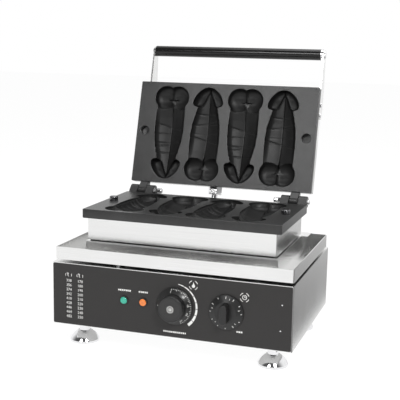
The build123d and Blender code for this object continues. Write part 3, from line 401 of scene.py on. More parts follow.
def square_ring(x, y, low, high, z, count=RING_POINTS):
    """Points of a rectangle seen from (x, y) at the same angles as a circle's points, four of them moved
    on to its corners."""
    angle = np.linspace(0, 2 * np.pi, count, endpoint=False)
    c, s = np.cos(angle), np.sin(angle)
    reach_x = np.where(c > 0, high[0] - x, low[0] - x) / np.where(np.abs(c) < 1e-6, 1e-6, c)
    reach_y = np.where(s > 0, high[1] - y, low[1] - y) / np.where(np.abs(s) < 1e-6, 1e-6, s)
    reach = np.minimum(np.abs(reach_x), np.abs(reach_y))
    points = np.stack([x + reach * c, y + reach * s, np.full(count, z)], axis=-1)
    for corner in (low, (high[0], low[1]), high, (low[0], high[1])):
        points[nearest(points, *corner), :2] = corner
    return points


def rounded_loop(width, depth, radius, z, per_corner=6):
    """Rectangle with round corners, as one loop of points that runs anticlockwise."""
    angle = np.linspace(0, np.pi / 2, per_corner)
    parts = []
    for quarter, (i, j) in enumerate(((1, 1), (-1, 1), (-1, -1), (1, -1))):
        turn = angle + quarter * np.pi / 2
        parts.append(np.stack([
            i * (width / 2 - radius) + radius * np.cos(turn),
            j * (depth / 2 - radius) + radius * np.sin(turn), np.full(per_corner, z)], axis=-1))
    return np.vstack(parts)


def web_outline(top_z, low_z, count=40):
    """Side view of a knuckle and its web: an arc of the knuckle joined by its two tangents to the plate's
    edge. Columns are the distance behind the plate's edge line and the height over the hinge axis."""
    def touch(z, side):
        away = math.hypot(HINGE_BACK, z)
        return math.atan2(z, -HINGE_BACK) + side * math.acos(KNUCKLE_R / away)
    start = touch(low_z, 1)
    stop = touch(top_z, -1)
    if stop < start:
        stop += 2 * math.pi
    angle = np.linspace(start, stop, count)
    arc = np.stack([KNUCKLE_R * np.cos(angle), KNUCKLE_R * np.sin(angle)], axis=-1)
    return np.vstack([[(-HINGE_BACK - 0.3, top_z)], [(-HINGE_BACK - 0.3, low_z)], arc])


def knuckle_mesh(x0, x1, top_z, low_z):
    """The web outline carried along x and drawn in a little at both ends."""
    outline = web_outline(top_z, low_z)
    middle = outline.mean(0)
    count = len(outline)
    rows = []
    stops = ((x0, KNUCKLE_EDGE), (x0 + KNUCKLE_EDGE, 0.0), (x1 - KNUCKLE_EDGE, 0.0), (x1, KNUCKLE_EDGE))
    for x, inset in stops:
        loop = middle + (outline - middle) * (1 - inset / KNUCKLE_R)
        rows.append(np.column_stack([np.full(count, x), loop[:, 0], loop[:, 1]]))
    return np.vstack(rows), grid_faces(4, count, close=True), count


def end_strip(hand, lid):
    """Loops of the flat face beside the moulds: its border and the stud's hole."""
    x = hand * STUD_X
    low_x, high_x = sorted((hand * 2 * MOULD_PITCH, hand * (PLATE_W / 2 - EDGE_INSET)))
    edge_y = PLATE_D / 2 - EDGE_INSET
    hole = STUD_HOLE_R if lid else STUD_BORE
    loops = [
        square_ring(x, STUD_Y, (low_x, -edge_y), (high_x, edge_y), 0.0),
        ring(x, STUD_Y, hole + 0.8, 0.0), ring(x, STUD_Y, hole, -0.5)]
    if lid:
        loops += [ring(x, STUD_Y, hole, -STUD_HOLE_DEPTH), ring(x, STUD_Y, 0.05, -STUD_HOLE_DEPTH - 0.8)]
    else:
        loops += [ring(x, STUD_Y, 0.05, -0.5)]
    return loops


def plate_mesh(settings, lid):
    """A whole plate in its face frame: four mould cells, two end strips, rounded sides, the back with its
    raised pad, and the knuckles. Heights are negative into the metal. The faces inside the moulds come
    first, and their number comes last."""
    points, faces, hollow, start = [], [], [], 0
    cell_u, cell_v, cell_z, outside = mould_surface(settings)
    rows, loop = cell_u.shape
    for number in range(4):
        turn = 1 if number % 2 == 0 else -1
        x = (number - 1.5) * MOULD_PITCH + turn * cell_v
        y = turn * (cell_u - MOULD_L / 2)
        points.append(np.stack([x, y, cell_z], axis=-1).reshape(-1, 3))
        hollow.append(grid_faces(rows - outside, loop, start + outside * loop, close=True))
        faces.append(grid_faces(outside + 1, loop, start, close=True))
        start += rows * loop
    for hand in (-1, 1):
        loops = end_strip(hand, lid)
        points.append(np.vstack(loops))
        faces.append(grid_faces(len(loops), RING_POINTS, start, close=True))
        start += len(loops) * RING_POINTS
    sides = [
        rounded_loop(PLATE_W - 2 * EDGE_INSET, PLATE_D - 2 * EDGE_INSET, 1.0, 0.0),
        rounded_loop(PLATE_W - 0.3, PLATE_D - 0.3, 1.4, -0.25),
        rounded_loop(PLATE_W, PLATE_D, 1.5, -0.8),
        rounded_loop(PLATE_W, PLATE_D, 1.5, -PLATE_T + 0.8),
        rounded_loop(PLATE_W - 1.2, PLATE_D - 1.2, 1.2, -PLATE_T),
        rounded_loop(PAD_W, PAD_D, PAD_CORNER, -PLATE_T),
        rounded_loop(PAD_W, PAD_D, PAD_CORNER, -PLATE_T - PAD_T)]
    loop = len(sides[0])
    points.append(np.vstack(sides))
    faces.append(grid_faces(len(sides), loop, start, close=True, flip=True))
    ends = [fan_face(loop, start + (len(sides) - 1) * loop, flip=True)]
    start += len(sides) * loop
    spans, axis_z, top_z = ((0,), -0.9, -0.3) if lid else ((-1, 1), 1.2, -2.4)
    for hand in (-1, 1):
        for place in spans:
            x0 = hand * HINGE_X + place * (KNUCKLE_L + KNUCKLE_GAP) - KNUCKLE_L / 2
            body, quads, count = knuckle_mesh(x0, x0 + KNUCKLE_L, top_z, top_z - WEB_H)
            body[:, 1] += PLATE_D / 2 + HINGE_BACK
            body[:, 2] += axis_z
            points.append(body)
            faces.append(quads + start)
            ends.append(fan_face(count, start, flip=True))
            ends.append(fan_face(count, start + 3 * count))
            start += len(body)
    return np.vstack(points), [*hollow, *faces, *ends], sum(len(part) for part in hollow)


def second_finish(piece, material, count):
    """Gives the piece's first faces a second material."""
    piece.data.materials.append(material)
    index = np.zeros(len(piece.data.polygons), np.int32)
    index[:count] = 1
    piece.data.polygons.foreach_set("material_index", index)


class WAFFLE_OT_plates(bpy.types.Operator):
    """Makes the two cast plates with their moulds"""
    bl_idname = "waffle.plates"
    bl_label = "Cast plates"

    def execute(self, context):
        settings = context.scene.waffle_plates
        cast = bpy.data.materials["cast_release_coat"]
        # The darker material inside the moulds is painted shade of the hollows
        hollow = bpy.data.materials["mould_hollow_painted_shade"]
        points, faces, inside = plate_mesh(settings, lid=False)
        lower = build_mesh("lower_plate_cast", base_place(points), faces, "base", cast, 32)
        second_finish(lower, hollow, inside)
        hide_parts("lower_plate")
        points, faces, inside = plate_mesh(settings, lid=True)
        shut = np.stack([
            points[:, 0], points[:, 1] - PLATE_D / 2 - HINGE_BACK, FACE_FROM_HINGE - points[:, 2]], axis=-1)
        flipped = [part[:, ::-1] for part in faces]
        upper = build_mesh("upper_plate_cast", lid_place(shut), flipped, "lid", cast, 32)
        second_finish(upper, hollow, inside)
        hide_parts("upper_plate")
        return {"FINISHED"}


# ---------------------------------------------------------------- shaders

def feed(tree, node, inputs):
    """Feeds each named or numbered input from another node's socket, or sets its constant."""
    for key, value in inputs.items():
        if isinstance(value, bpy.types.NodeSocket):
            tree.links.new(value, node.inputs[key])
        else:
            node.inputs[key].default_value = value


def add_node(tree, kind, inputs=None, **settings):
    """Shader node with its settings and inputs."""
    node = tree.nodes.new("ShaderNode" + kind)
    for label, value in settings.items():
        setattr(node, label, value)
    feed(tree, node, inputs or {})
    return node


def add_math(tree, operation, *values):
    """Result of a Math node."""
    return add_node(tree, "Math", dict(enumerate(values)), operation=operation).outputs[0]


def add_range(tree, value, source, target, **settings):
    """Result of a Map Range node from one (least, most) pair to another."""
    return add_node(tree, "MapRange", {
        "Value": value, "From Min": source[0], "From Max": source[1],
        "To Min": target[0], "To Max": target[1]}, **settings).outputs["Result"]


def add_mix(tree, share, first, second):
    """Shader that mixes two shaders."""
    return add_node(tree, "MixShader", {0: share, 1: first, 2: second}).outputs[0]


def add_tint(tree, colour, scale):
    """Colour times a number."""
    return add_node(tree, "VectorMath", {0: colour, "Scale": scale}, operation="SCALE").outputs[0]


def new_group(name, inputs):
    """Empty shader group with its sockets."""
    group = bpy.data.node_groups.new(name, "ShaderNodeTree")
    for label, kind, value in inputs:
        socket = group.interface.new_socket(name=label, in_out="INPUT", socket_type="NodeSocket" + kind)
        socket.default_value = value
    for label, kind in (("Colour", "Color"), ("Roughness", "Float"), ("Height", "Float")):
        group.interface.new_socket(name=label, in_out="OUTPUT", socket_type="NodeSocket" + kind)
    return group, group.nodes.new("NodeGroupInput").outputs, group.nodes.new("NodeGroupOutput")


def make_brush_group():
    """Brush lines: noise stretched along the sheet for tone and height, and slow smears for tone and gloss,
    on Object coordinates."""
    group, given, sink = new_group("brush_lines", [
        ("Stretch", "Vector", (1, 1, 1)), ("Colour", "Color", (0.8, 0.8, 0.8, 1)),
        ("Roughness", "Float", 0.3)])
    place = add_node(group, "TexCoord").outputs["Object"]
    scaled = add_node(group, "VectorMath", {0: place, 1: given["Stretch"]}, operation="MULTIPLY").outputs[0]
    lines = add_node(group, "TexNoise", {
        "Vector": scaled, "Scale": 1.0, "Detail": 4.0, "Roughness": 0.65}).outputs["Fac"]
    smear = add_node(group, "TexNoise", {"Vector": place, "Scale": 14.0, "Detail": 3.0}).outputs["Fac"]
    shade = add_range(group, lines, (0.3, 0.7), (0.965, 1.03))
    slow = add_range(group, smear, (0.35, 0.65), (0.965, 1.02))
    rough = add_range(group, smear, (0.3, 0.7), (-0.03, 0.04))
    feed(group, sink, {
        "Colour": add_tint(group, given["Colour"], add_math(group, "MULTIPLY", shade, slow)),
        "Roughness": add_math(group, "ADD", given["Roughness"], rough), "Height": lines})


def make_pebble_group():
    """Fine pebble of a sprayed coat or a moulding: small noise for height, large for tone and gloss."""
    group, given, sink = new_group("pebble_coat", [
        ("Grain", "Float", 1800.0), ("Patch", "Float", 22.0), ("Colour", "Color", (0.1, 0.1, 0.1, 1)),
        ("Roughness", "Float", 0.4), ("Contrast", "Float", 0.12)])
    place = add_node(group, "TexCoord").outputs["Object"]
    grain = add_node(group, "TexNoise", {
        "Vector": place, "Scale": given["Grain"], "Detail": 2.0}).outputs["Fac"]
    patch = add_node(group, "TexNoise", {
        "Vector": place, "Scale": given["Patch"], "Detail": 5.0, "Roughness": 0.6}).outputs["Fac"]
    swing = add_math(group, "SUBTRACT", patch, 0.5)
    fine = add_math(group, "MULTIPLY_ADD", grain, 0.35, -0.175)
    tone = add_math(group, "MULTIPLY_ADD", add_math(group, "ADD", swing, fine), given["Contrast"], 1.0)
    feed(group, sink, {
        "Colour": add_tint(group, given["Colour"], tone),
        "Roughness": add_math(group, "MULTIPLY_ADD", swing, 0.12, given["Roughness"]), "Height": grain})


def start_material(name, inputs):
    """Material with a Principled shader and nothing else."""
    material = bpy.data.materials.new(name)
    material.use_nodes = True
    tree = material.node_tree
    tree.nodes.clear()
    shader = add_node(tree, "BsdfPrincipled", inputs)
    out = add_node(tree, "OutputMaterial", {0: shader.outputs[0]})
    return material, tree, shader, out


def wire_group(tree, shader, group, values, bump, distance):
    """Places a group with its values and wires colour, roughness and bump."""
    given = add_node(tree, "Group", values, node_tree=bpy.data.node_groups[group]).outputs
    normal = add_node(tree, "Bump", {"Strength": bump, "Distance": distance, "Height": given["Height"]})
    feed(tree, shader, {
        "Base Color": given["Colour"], "Roughness": given["Roughness"], "Normal": normal.outputs[0]})


def brushed(name, colour, roughness, stretch, bump):
    """Metal with brush lines; stretch is their scale along x, y and z."""
    material, tree, shader, _ = start_material(name, {"Metallic": 1.0})
    wire_group(tree, shader, "brush_lines",
               {"Stretch": stretch, "Colour": (*colour, 1), "Roughness": roughness}, bump, 0.00006)
    return material


def coated(name, colour, roughness, grain, bump, metallic=0.0, specular=0.5, patch=22.0, contrast=0.3,
           coat=0.0):
    """Plastic, rubber or coated metal with a fine pebble."""
    material, tree, shader, _ = start_material(name, {
        "Metallic": metallic, "Specular IOR Level": specular, "Coat Weight": coat, "Coat Roughness": 0.12})
    wire_group(tree, shader, "pebble_coat", {
        "Grain": grain, "Patch": patch, "Colour": (*colour, 1), "Roughness": roughness,
        "Contrast": contrast}, bump, 0.00015)
    return material


class WAFFLE_OT_finishes(bpy.types.Operator):
    """Makes the materials and gives each CAD node its own"""
    bl_idname = "waffle.finishes"
    bl_label = "Finishes"

    def execute(self, context):
        s = context.scene.waffle_finish
        make_brush_group()
        make_pebble_group()
        run = 1 / s.brush_length
        steel = tuple(s.steel)
        # Slot: name, colour, roughness, stretch, bump
        metals = {
            "body_steel": ("steel_brushed_across", steel, 0.2, (run, 1500, 1500), 0.12),
            "hidden_steel": ("steel_plain", (0.62, 0.62, 0.61), 0.38, (60, 60, 60), 0.1),
            "bright_steel": ("steel_polished", (0.84, 0.84, 0.85), 0.09, (180, 180, 180), 0.05),
            "heater_tube": ("tube_heat_tinted", (0.32, 0.29, 0.26), 0.42, (90, 90, 90), 0.2),
            "terminal_brass": ("brass_plain", (0.75, 0.58, 0.28), 0.3, (200, 200, 200), 0.1),
            "stud_steel": ("stud_dark", (0.16, 0.16, 0.165), 0.16, (160, 160, 160), 0.05)}
        # Slot: name, colour, roughness, grain, bump, metallic, specular, patch, contrast, coat
        coats = {
            "mould_cast": ("cast_release_coat", tuple(s.cast), 0.36, 1500.0, 0.5, 0.6, 0.5, 14.0, 1.0),
            "panel_film": ("panel_film_satin", tuple(s.film), 0.5, 2600.0, 0.06, 0.0, 0.4, 9.0, 0.25),
            "knob_plastic": ("knob_moulding", (0.012, 0.012, 0.012), 0.36, 2200.0, 0.12, 0.0, 0.5, 30.0),
            "cap_plastic": ("cap_inlay", (0.02, 0.02, 0.02), 0.26, 2400.0, 0.05, 0.0, 0.5, 30.0, 0.2),
            "grip_plastic": ("grip_phenolic", (0.006, 0.006, 0.006), 0.2, 1400.0, 0.02, 0.0, 0.4, 30.0),
            "gasket_rubber": ("gasket_black", (0.03, 0.03, 0.03), 0.7, 1200.0, 0.3, 0.0, 0.3),
            "control_body": ("control_moulding", (0.06, 0.06, 0.058), 0.5, 1600.0, 0.2),
            "wool": ("ceramic_wool", (0.82, 0.81, 0.77), 0.95, 700.0, 0.9, 0.0, 0.1, 60.0, 0.4),
            "lens_green": (
                "lens_green_tint", (0.02, 0.42, 0.29), 0.22, 900.0, 0.25, 0.0, 0.6, 160.0, 0.9, 0.6),
            "lens_orange": (
                "lens_orange_tint", (0.86, 0.22, 0.03), 0.22, 900.0, 0.25, 0.0, 0.6, 160.0, 0.9, 0.6)}
        by_slot = {slot: brushed(*values) for slot, values in metals.items()}
        by_slot.update({slot: coated(*values) for slot, values in coats.items()})
        lengthwise = brushed("steel_brushed_side", steel, 0.2, (1500, run, 1500), 0.12)
        # Near-black inside the moulds: painted shade of the hollows, with a gloss of its own
        hollow = coated("mould_hollow_painted_shade", tuple(s.hollow), 0.46, 1500.0, 0.35, 0.0, 0.4, 24.0, 0.4)
        ink = coated("panel_print", tuple(s.ink), 0.5, 2000.0, 0.05, 0.0, 0.3, 60.0, 0.2)
        for later in (hollow, ink):
            later.use_fake_user = True
        turned = {"handle_arm_left": lengthwise, "handle_arm_right": lengthwise}
        for part in frame["record"]["subparts"]:
            node = frame["nodes"][part["node"]]
            node.data.materials.clear()
            node.data.materials.append(turned.get(part["node"], by_slot[part["material_slot"]]))
        return {"FINISHED"}


# ---------------------------------------------------------------- panel marks and dials

def mark_solids(name, shapes, front_of, back_of, body, material):
    """Flat printed marks as thin solids. Each shape is a closed outline in x and z, anticlockwise as the
    cook sees it. front_of and back_of place its points, and short walls join the two."""
    points, faces, start = [], [], 0
    for outline in shapes:
        outline = np.asarray(outline, float)
        count = len(outline)
        points.append(np.vstack([front_of(outline), back_of(outline)]))
        faces.append(fan_face(count, start))
        faces.append(grid_faces(2, count, start, close=True, flip=True))
        start += 2 * count
    return build_mesh(name, np.vstack(points), faces, body, material, 30)


def plane_marks(name, shapes, depth_y, thickness, body, material):
    """Marks on an upright face at depth_y, as proud of it as they are thick."""
    def at(y):
        return lambda outline: np.column_stack([outline[:, 0], np.full(len(outline), y), outline[:, 1]])
    return mark_solids(name, shapes, at(depth_y - thickness), at(depth_y), body, material)


def bar(x, z, width, height, turn=0.0):
    """Rectangle as an outline."""
    corners = np.array([(-1, -1), (1, -1), (1, 1), (-1, 1)], float) * (width / 2, height / 2)
    c, s = math.cos(turn), math.sin(turn)
    return corners @ np.array([(c, s), (-s, c)]) + (x, z)


def arc_band(x, z, radius, width0, width1, start, stop, count=24):
    """Band along an arc that widens from width0 to width1. Angles in degrees, clockwise from the top."""
    angle = np.radians(np.linspace(start, stop, count))
    width = np.linspace(width0, width1, count) / 2
    outer = np.column_stack([x + (radius + width) * np.sin(angle), z + (radius + width) * np.cos(angle)])
    inner = np.column_stack([x + (radius - width) * np.sin(angle), z + (radius - width) * np.cos(angle)])
    return np.vstack([inner, outer[::-1]])


def text_piece(name, lines, matrix_of, body, material, thickness=0.05):
    """Plain numbers made a mesh. Each line is (text, size in mm, two values), and matrix_of takes the text's
    points and the two values and returns their places."""
    points, faces, start = [], [], 0
    for text, size, x, z in lines:
        curve = bpy.data.curves.new("number", "FONT")
        curve.body = text
        curve.size = size
        curve.align_x = "CENTER"
        curve.align_y = "CENTER"
        curve.resolution_u = 2
        curve.extrude = thickness / 2
        holder = bpy.data.objects.new("number", curve)
        bpy.context.scene.collection.objects.link(holder)
        bpy.context.view_layer.update()
        seen = holder.evaluated_get(bpy.context.evaluated_depsgraph_get())
        solid = bpy.data.meshes.new_from_object(seen)
        co = np.zeros(len(solid.vertices) * 3)
        solid.vertices.foreach_get("co", co)
        solid.calc_loop_triangles()
        tris = np.zeros(len(solid.loop_triangles) * 3, np.int32)
        solid.loop_triangles.foreach_get("vertices", tris)
        points.append(matrix_of(co.reshape(-1, 3), x, z))
        faces.append(tris.reshape(-1, 3) + start)
        start += len(solid.vertices)
        bpy.data.objects.remove(holder)
        bpy.data.curves.remove(curve)
        bpy.data.meshes.remove(solid)
    return build_mesh(name, np.vstack(points), faces, body, material, 30)


def on_panel(co, x, z):
    """Lays a text's own x and y on the panel's x and z."""
    return np.column_stack([co[:, 0] + x, PANEL_FRONT - 0.03 - co[:, 2], co[:, 1] + z])


class WAFFLE_OT_panel_marks(bpy.types.Operator):
    """Prints the scale, the dashes and the plain signs on the panel"""
    bl_idname = "waffle.panel_marks"
    bl_label = "Panel marks"

    def execute(self, context):
        ink = bpy.data.materials["panel_print"]
        numbers = []
        for row in range(9):
            z = 97.3 - 6.53 * row
            numbers.append((str(338 + 18 * row), 5.6, -149.0, z))
            numbers.append((str(170 + 10 * row), 5.6, -131.6, z))
        text_piece("panel_scale_numbers", numbers, on_panel, "base", ink)
        marks = [*self.column_heads(), *self.dashes(), *self.widening_arc(), *self.signs()]
        plane_marks("panel_marks", marks, PANEL_FRONT, 0.06, "base", ink)
        pins = [arc_band(x, z, 0.5, 0.9, 0.9, 0, 358, 14) for x, z in ((160.0, 96.0), (158.7, 60.5))]
        plane_marks("panel_pins", pins, PANEL_FRONT, 0.15, "base",
                    bpy.data.materials["steel_polished"])
        return {"FINISHED"}

    def column_heads(self):
        """Brackets with a degree sign over the two columns of numbers."""
        marks = []
        for x in (-149.5, -132.0):
            marks.append(arc_band(x, 105.6, 4.6, 0.7, 0.7, 245, 295, 8))
            marks.append(arc_band(x, 105.6, 4.6, 0.7, 0.7, 65, 115, 8))
            marks.append(arc_band(x - 1.6, 108.0, 0.9, 0.5, 0.5, 0, 350, 12))
            marks.append(arc_band(x + 0.8, 105.4, 2.0, 0.8, 0.8, 200, 340, 10))
        return marks

    def dashes(self):
        """Short dashes by the lamps and the dials: middle x, z and the widths."""
        marks = []
        for x, z, widths in (
                (-63.4, 92.4, (3.2, 3.4, 3.0, 3.4, 1.2, 3.2, 2.4, 3.2)),
                (-35.6, 92.4, (3.4, 2.6, 1.4, 3.2, 2.6, 3.0)),
                (11.0, 40.8, (3.0, 3.4, 3.6, 3.0, 3.2, 2.6, 3.4, 3.0, 1.4, 3.4, 3.0, 3.4, 2.2)),
                (103.2, 52.3, (2.8, 1.2, 3.4, 3.0))):
            total = sum(widths) * 0.86
            at = x - total / 2
            for width in widths:
                drawn = width * 0.62
                marks.append(bar(at + drawn / 2, z, drawn, 2.3))
                at += width * 0.86
        return marks

    def widening_arc(self):
        """Broken band round the temperature dial that widens clockwise."""
        edges = np.linspace(8, 142, 9)
        widths = np.interp(edges, [8, 142], [0.9, 3.9])
        return [arc_band(TEMPERATURE_X, CONTROL_Z, 31.6, widths[k], widths[k + 1],
                         edges[k] + 0.8, edges[k + 1] - 0.8, 8) for k in range(8)]

    def signs(self):
        """A flame and a clock, each in a broken ring."""
        marks = [arc_band(x, z, 6.2, 0.8, 0.8, start, start + 50, 8)
                 for x, z in ((36.8, 110.2), (108.7, 101.0)) for start in (20, 110, 200, 290)]
        flame = smooth_line([(0, 4.2), (1.1, 1.6), (2.3, -0.8), (1.6, -3.0), (0, -3.8), (-1.6, -3.0),
                             (-2.2, -0.8), (-0.9, 0.8), (0, 4.2)], 4)[:-1]
        marks.append(flame[::-1] + (36.8, 110.2))
        marks.append(arc_band(108.7, 101.0, 2.9, 0.8, 0.8, 0, 350, 20))
        marks.append(bar(108.7, 102.0, 0.7, 2.2))
        marks.append(bar(109.5, 101.0, 1.8, 0.7))
        return marks


def cone_marks(name, shapes, cone, body, material):
    """Marks that lie on a dial's cone: each outline is given in the dial's plane, and every point's height
    follows the cone in a straight fall from rim to hub. The cone is its middle x, rim radius, rim y, hub
    radius and hub y."""
    centre_x, rim_r, rim_y, hub_r, hub_y = cone

    def top(outline):
        radius = np.hypot(outline[:, 0], outline[:, 1])
        fall = np.interp(radius, [hub_r, rim_r], [hub_y, rim_y])
        return np.column_stack([outline[:, 0] + centre_x, fall - 0.08, outline[:, 1] + CONTROL_Z])
    return mark_solids(
        name, shapes, top, lambda outline: top(outline) + (0, 0.08, 0), body, material)


def cone_text(name, lines, cone, body, material):
    """Numbers round a dial, each given by its angle and radius, turned to face outwards and laid on the
    cone."""
    centre_x, rim_r, rim_y, hub_r, hub_y = cone

    def on_cone(co, angle, radius):
        turn = math.radians(angle)
        out = radius + co[:, 1]
        x = out * math.sin(turn) + co[:, 0] * math.cos(turn)
        z = out * math.cos(turn) - co[:, 0] * math.sin(turn)
        away = np.hypot(x, z)
        fall = np.interp(away, [hub_r, rim_r], [hub_y, rim_y])
        return np.column_stack([x + centre_x, fall - 0.06 - co[:, 2], z + CONTROL_Z])
    return text_piece(name, lines, on_cone, body, material)


def dial_tick(degrees, outer_r, width, reach):
    """Tick that points to the dial's middle, from outer_r inwards."""
    angle = math.radians(degrees)
    r = outer_r - reach / 2
    return bar(r * math.sin(angle), r * math.cos(angle), width, reach, -angle)


class WAFFLE_OT_dials(bpy.types.Operator):
    """Prints the ticks and numbers on the two dials"""
    bl_idname = "waffle.dials"
    bl_label = "Dials"

    def execute(self, context):
        ink = bpy.data.materials["panel_print"]
        cone = (TEMPERATURE_X, 26.0, KNOB_BACK - 1.6, 19.2, KNOB_BACK - 7.4)
        ticks = [dial_tick(-8 + k * 6.0, 25.2, 0.45, 2.2 if k % 3 == 0 else 1.2) for k in range(28)]
        ticks.append(bar(-22.5, 0.0, 2.4, 0.7))
        cone_marks("temperature_ticks", ticks, cone, "temperature_dial", ink)
        numbers = [("0", 3.2, -10, 21.4), ("100", 2.8, 42, 21.4), ("150", 2.8, 78, 21.4),
                   ("200", 2.8, 112, 21.4), ("250", 2.8, 146, 21.4)]
        cone_text("temperature_numbers", numbers, cone, "temperature_dial", ink)
        front_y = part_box("temperature_cap")[0].y / MM
        sign = [arc_band(TEMPERATURE_X, CONTROL_Z, 4.3, 0.8, 0.8, 0, 356, 28),
                arc_band(TEMPERATURE_X, CONTROL_Z, 1.5, 1.4, 1.4, 0, 350, 20)]
        plane_marks("temperature_cap_ring", sign, front_y, 0.06, "temperature_dial", ink)
        cone = (TIMER_X, 24.0, KNOB_BACK - 1.6, 15.0, KNOB_BACK - 5.4)
        ticks = [dial_tick(k * 30, 22.6, 0.7, 3.0 if k in (0, 1, 5, 10) else 1.8) for k in range(12)]
        cone_marks("timer_ticks", ticks, cone, "timer_dial", ink)
        numbers = [("1", 3.4, 15, 19.6), ("2", 3.4, 75, 19.4), ("3", 3.4, 135, 19.4),
                   ("4", 3.4, 225, 19.4), ("5", 3.4, 285, 19.4)]
        cone_text("timer_numbers", numbers, cone, "timer_dial", ink)
        return {"FINISHED"}


# ---------------------------------------------------------------- handle trim

def turned_piece(name, profile, axis_y, axis_z, body, material, count=56):
    """Profile turned about a line along x: each row of the profile is (x, radius)."""
    profile = np.asarray(profile, float)
    x = np.repeat(profile[:, 0], count)
    r = np.repeat(profile[:, 1], count)
    turn = np.tile(np.linspace(0, 2 * np.pi, count, endpoint=False), len(profile))
    points = np.column_stack([x, axis_y + r * np.cos(turn), axis_z + r * np.sin(turn)])
    return build_mesh(name, points, [grid_faces(len(profile), count, close=True)], body, material)


class WAFFLE_OT_handle_trim(bpy.types.Operator):
    """Puts a collar on each end of the grip: a black one at the left as painted shade, and a polished steel one at
    the right
    """
    bl_idname = "waffle.handle_trim"
    bl_label = "Handle trim"

    def execute(self, context):
        low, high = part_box("handle_grip")
        y = (low.y + high.y) / 2 / MM
        z = (low.z + high.z) / 2 / MM
        r = (high.z - low.z) / 2 / MM
        # Each row is the distance in from the grip's end and the height over its surface
        section = ((3.4, -3.0), (3.4, -0.4), (3.0, 0.03), (0.7, 0.03), (0.1, -0.5), (0.1, -3.0), (3.4, -3.0))
        # The left collar is black as painted shade on the shaded end of the left steel arm; the right collar is
        # polished steel
        for hand, name, material in (
                (-1, "grip_collar_left_painted_shade", "grip_phenolic"), (1, "grip_collar_right", "steel_polished")):
            end = hand * high.x / MM
            profile = [(end - hand * inward, r + proud) for inward, proud in section][::hand]
            turned_piece(name, profile, y, z, "lid", bpy.data.materials[material])
        return {"FINISHED"}


# ---------------------------------------------------------------- stage

def lamp(name, place, target, width, height, power):
    """Rectangular lamp that looks at a target, places in metres."""
    data = bpy.data.lights.new(name, "AREA")
    data.shape = "RECTANGLE"
    data.size, data.size_y = width, height
    data.energy = power
    light = bpy.data.objects.new(name, data)
    light.location = place
    light.rotation_euler = (Vector(target) - Vector(place)).to_track_quat("-Z", "Y").to_euler()
    bpy.context.scene.collection.objects.link(light)
    return light


def card(name, corners, near_y, near, far_y, far):
    """Card beside the set that shows only in reflections, and pales from near to far along y."""
    mesh = bpy.data.meshes.new(name)
    mesh.from_pydata(corners, [], [(0, 1, 2, 3)])
    material = bpy.data.materials.new(name)
    material.use_nodes = True
    tree = material.node_tree
    tree.nodes.clear()
    parts = add_node(tree, "SeparateXYZ", {0: add_node(tree, "TexCoord").outputs["Object"]})
    fall = add_range(tree, parts.outputs["Y"], (near_y, far_y), (near, far))
    glow = add_node(tree, "Emission", {"Strength": fall})
    add_node(tree, "OutputMaterial", {0: glow.outputs[0]})
    mesh.materials.append(material)
    piece = bpy.data.objects.new(name, mesh)
    bpy.context.scene.collection.objects.link(piece)
    piece.visible_camera = False
    piece.visible_diffuse = False
    piece.visible_shadow = False


def white_floor(scene):
    """Pale floor that keeps the object's shadow: the camera and reflections see most of it as white."""
    mesh = bpy.data.meshes.new("floor")
    mesh.from_pydata([(-8, -8, 0), (8, -8, 0), (8, 8, 0), (-8, 8, 0)], [], [(0, 1, 2, 3)])
    material, tree, shader, out = start_material(
        "floor_white", {"Base Color": (0.97, 0.97, 0.97, 1), "Roughness": 0.9})
    path = add_node(tree, "LightPath").outputs
    seen = add_math(tree, "MAXIMUM", path["Is Camera Ray"], path["Is Glossy Ray"])
    share = add_math(tree, "MULTIPLY", seen, 0.8)
    glow = add_node(tree, "Emission", {"Strength": 1.12}).outputs[0]
    feed(tree, out, {0: add_mix(tree, share, shader.outputs[0], glow)})
    mesh.materials.append(material)
    floor = bpy.data.objects.new("floor", mesh)
    scene.collection.objects.link(floor)


def white_room(scene, sky, front_room):
    """World that is white to the camera, even and dim as light, and in reflections dark behind the cook."""
    world = bpy.data.worlds.new("white_room")
    scene.world = world
    world.use_nodes = True
    tree = world.node_tree
    tree.nodes.clear()

    def background(strength):
        return add_node(tree, "Background", {"Color": (1, 1, 1, 1), "Strength": strength}).outputs[0]
    path = add_node(tree, "LightPath").outputs
    parts = add_node(tree, "SeparateXYZ", {0: add_node(tree, "TexCoord").outputs["Generated"]})
    fall = add_range(tree, parts.outputs["Y"], (-0.55, 0.35), (front_room, 1.0),
                     interpolation_type="SMOOTHSTEP")
    gloss = add_mix(tree, path["Is Glossy Ray"], background(sky), background(fall))
    first = add_math(tree, "MAXIMUM", path["Is Camera Ray"], path["Is Transmission Ray"])
    add_node(tree, "OutputWorld", {0: add_mix(tree, first, gloss, background(1.0))})


def photo_camera(scene):
    """Camera that sees the object as the photo does."""
    data = bpy.data.cameras.new("photo_camera")
    data.sensor_width = 36.0
    data.lens = CAMERA_LENS
    data.shift_x, data.shift_y = CAMERA_SHIFT
    data.clip_start = 0.05
    camera = bpy.data.objects.new("photo_camera", data)
    scene.collection.objects.link(camera)
    yaw, pitch, roll = (math.radians(angle) for angle in (CAMERA_YAW, CAMERA_PITCH, CAMERA_ROLL))
    level = math.cos(pitch)
    ahead = Vector((-math.sin(yaw) * level, math.cos(yaw) * level, math.sin(pitch)))
    right = ahead.cross(Vector((0, 0, 1))).normalized()
    up = right.cross(ahead)
    right_rolled = right * math.cos(roll) + up * math.sin(roll)
    up_rolled = up * math.cos(roll) - right * math.sin(roll)
    turn = Matrix((right_rolled, up_rolled, -ahead)).transposed()
    camera.matrix_world = Matrix.Translation(CAMERA_PLACE) @ turn.to_4x4()
    scene.camera = camera


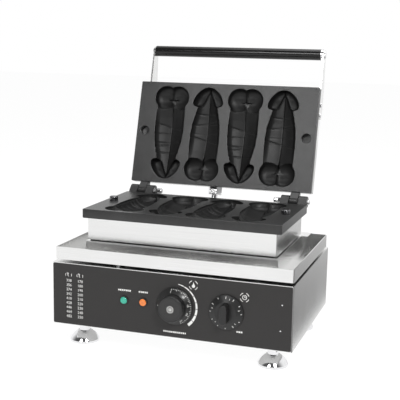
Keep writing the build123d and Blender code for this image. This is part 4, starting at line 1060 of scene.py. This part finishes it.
class WAFFLE_OT_stage(bpy.types.Operator):
    """Makes the floor, the lamps, the white room and the camera"""
    bl_idname = "waffle.stage"
    bl_label = "Stage"

    def execute(self, context):
        s = context.scene.waffle_stage
        white_floor(context.scene)
        white_room(context.scene, s.sky, s.front_room)
        card("side_card", [(0.2, -0.6, 0.001), (2.2, -0.6, 0.001), (2.2, 2.4, 0.001), (0.2, 2.4, 0.001)],
             0.1, 0.28, 1.0, 0.7)
        lamp("key_lamp", (1.1, -1.5, 1.5), (0, 0, 0.25), 0.5, 0.6, s.key_power)
        lamp("fill_lamp", (-0.4, -1.9, 1.3), (0, 0, 0.25), 0.5, 0.6, s.fill_power)
        lamp("top_lamp", (0.1, 0.2, 2.0), (0, 0, 0.1), 1.2, 1.2, s.top_power)
        photo_camera(context.scene)
        context.scene.view_settings.view_transform = "Standard"
        return {"FINISHED"}


# ---------------------------------------------------------------- panel and registration

OPERATORS = (WAFFLE_OT_finishes, WAFFLE_OT_plates, WAFFLE_OT_panel_marks, WAFFLE_OT_dials,
             WAFFLE_OT_handle_trim, WAFFLE_OT_stage)


class WAFFLE_PT_sidebar(bpy.types.Panel):
    bl_idname = "WAFFLE_PT_sidebar"
    bl_label = "Waffle baker"
    bl_space_type = "VIEW_3D"
    bl_region_type = "UI"
    bl_category = "Waffle baker"

    def draw(self, context):
        layout = self.layout
        scene = context.scene
        for settings in (scene.waffle_plates, scene.waffle_finish, scene.waffle_stage):
            for label in settings.bl_rna.properties.keys():
                if label not in ("rna_type", "name"):
                    layout.prop(settings, label)
        for operator in OPERATORS:
            layout.operator(operator.bl_idname)


CLASSES = (WafflePlateSettings, WaffleFinishSettings, WaffleStageSettings, *OPERATORS, WAFFLE_PT_sidebar)


def register():
    for item in CLASSES:
        bpy.utils.register_class(item)
    bpy.types.Scene.waffle_plates = bpy.props.PointerProperty(type=WafflePlateSettings)
    bpy.types.Scene.waffle_finish = bpy.props.PointerProperty(type=WaffleFinishSettings)
    bpy.types.Scene.waffle_stage = bpy.props.PointerProperty(type=WaffleStageSettings)


def unregister():
    del bpy.types.Scene.waffle_stage
    del bpy.types.Scene.waffle_finish
    del bpy.types.Scene.waffle_plates
    for item in reversed(CLASSES):
        bpy.utils.unregister_class(item)


def main():
    """Registers the add-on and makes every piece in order."""
    register()
    bpy.ops.waffle.finishes()
    bpy.ops.waffle.plates()
    bpy.ops.waffle.panel_marks()
    bpy.ops.waffle.dials()
    bpy.ops.waffle.handle_trim()
    bpy.ops.waffle.stage()


if __name__ == "__main__":
    main()
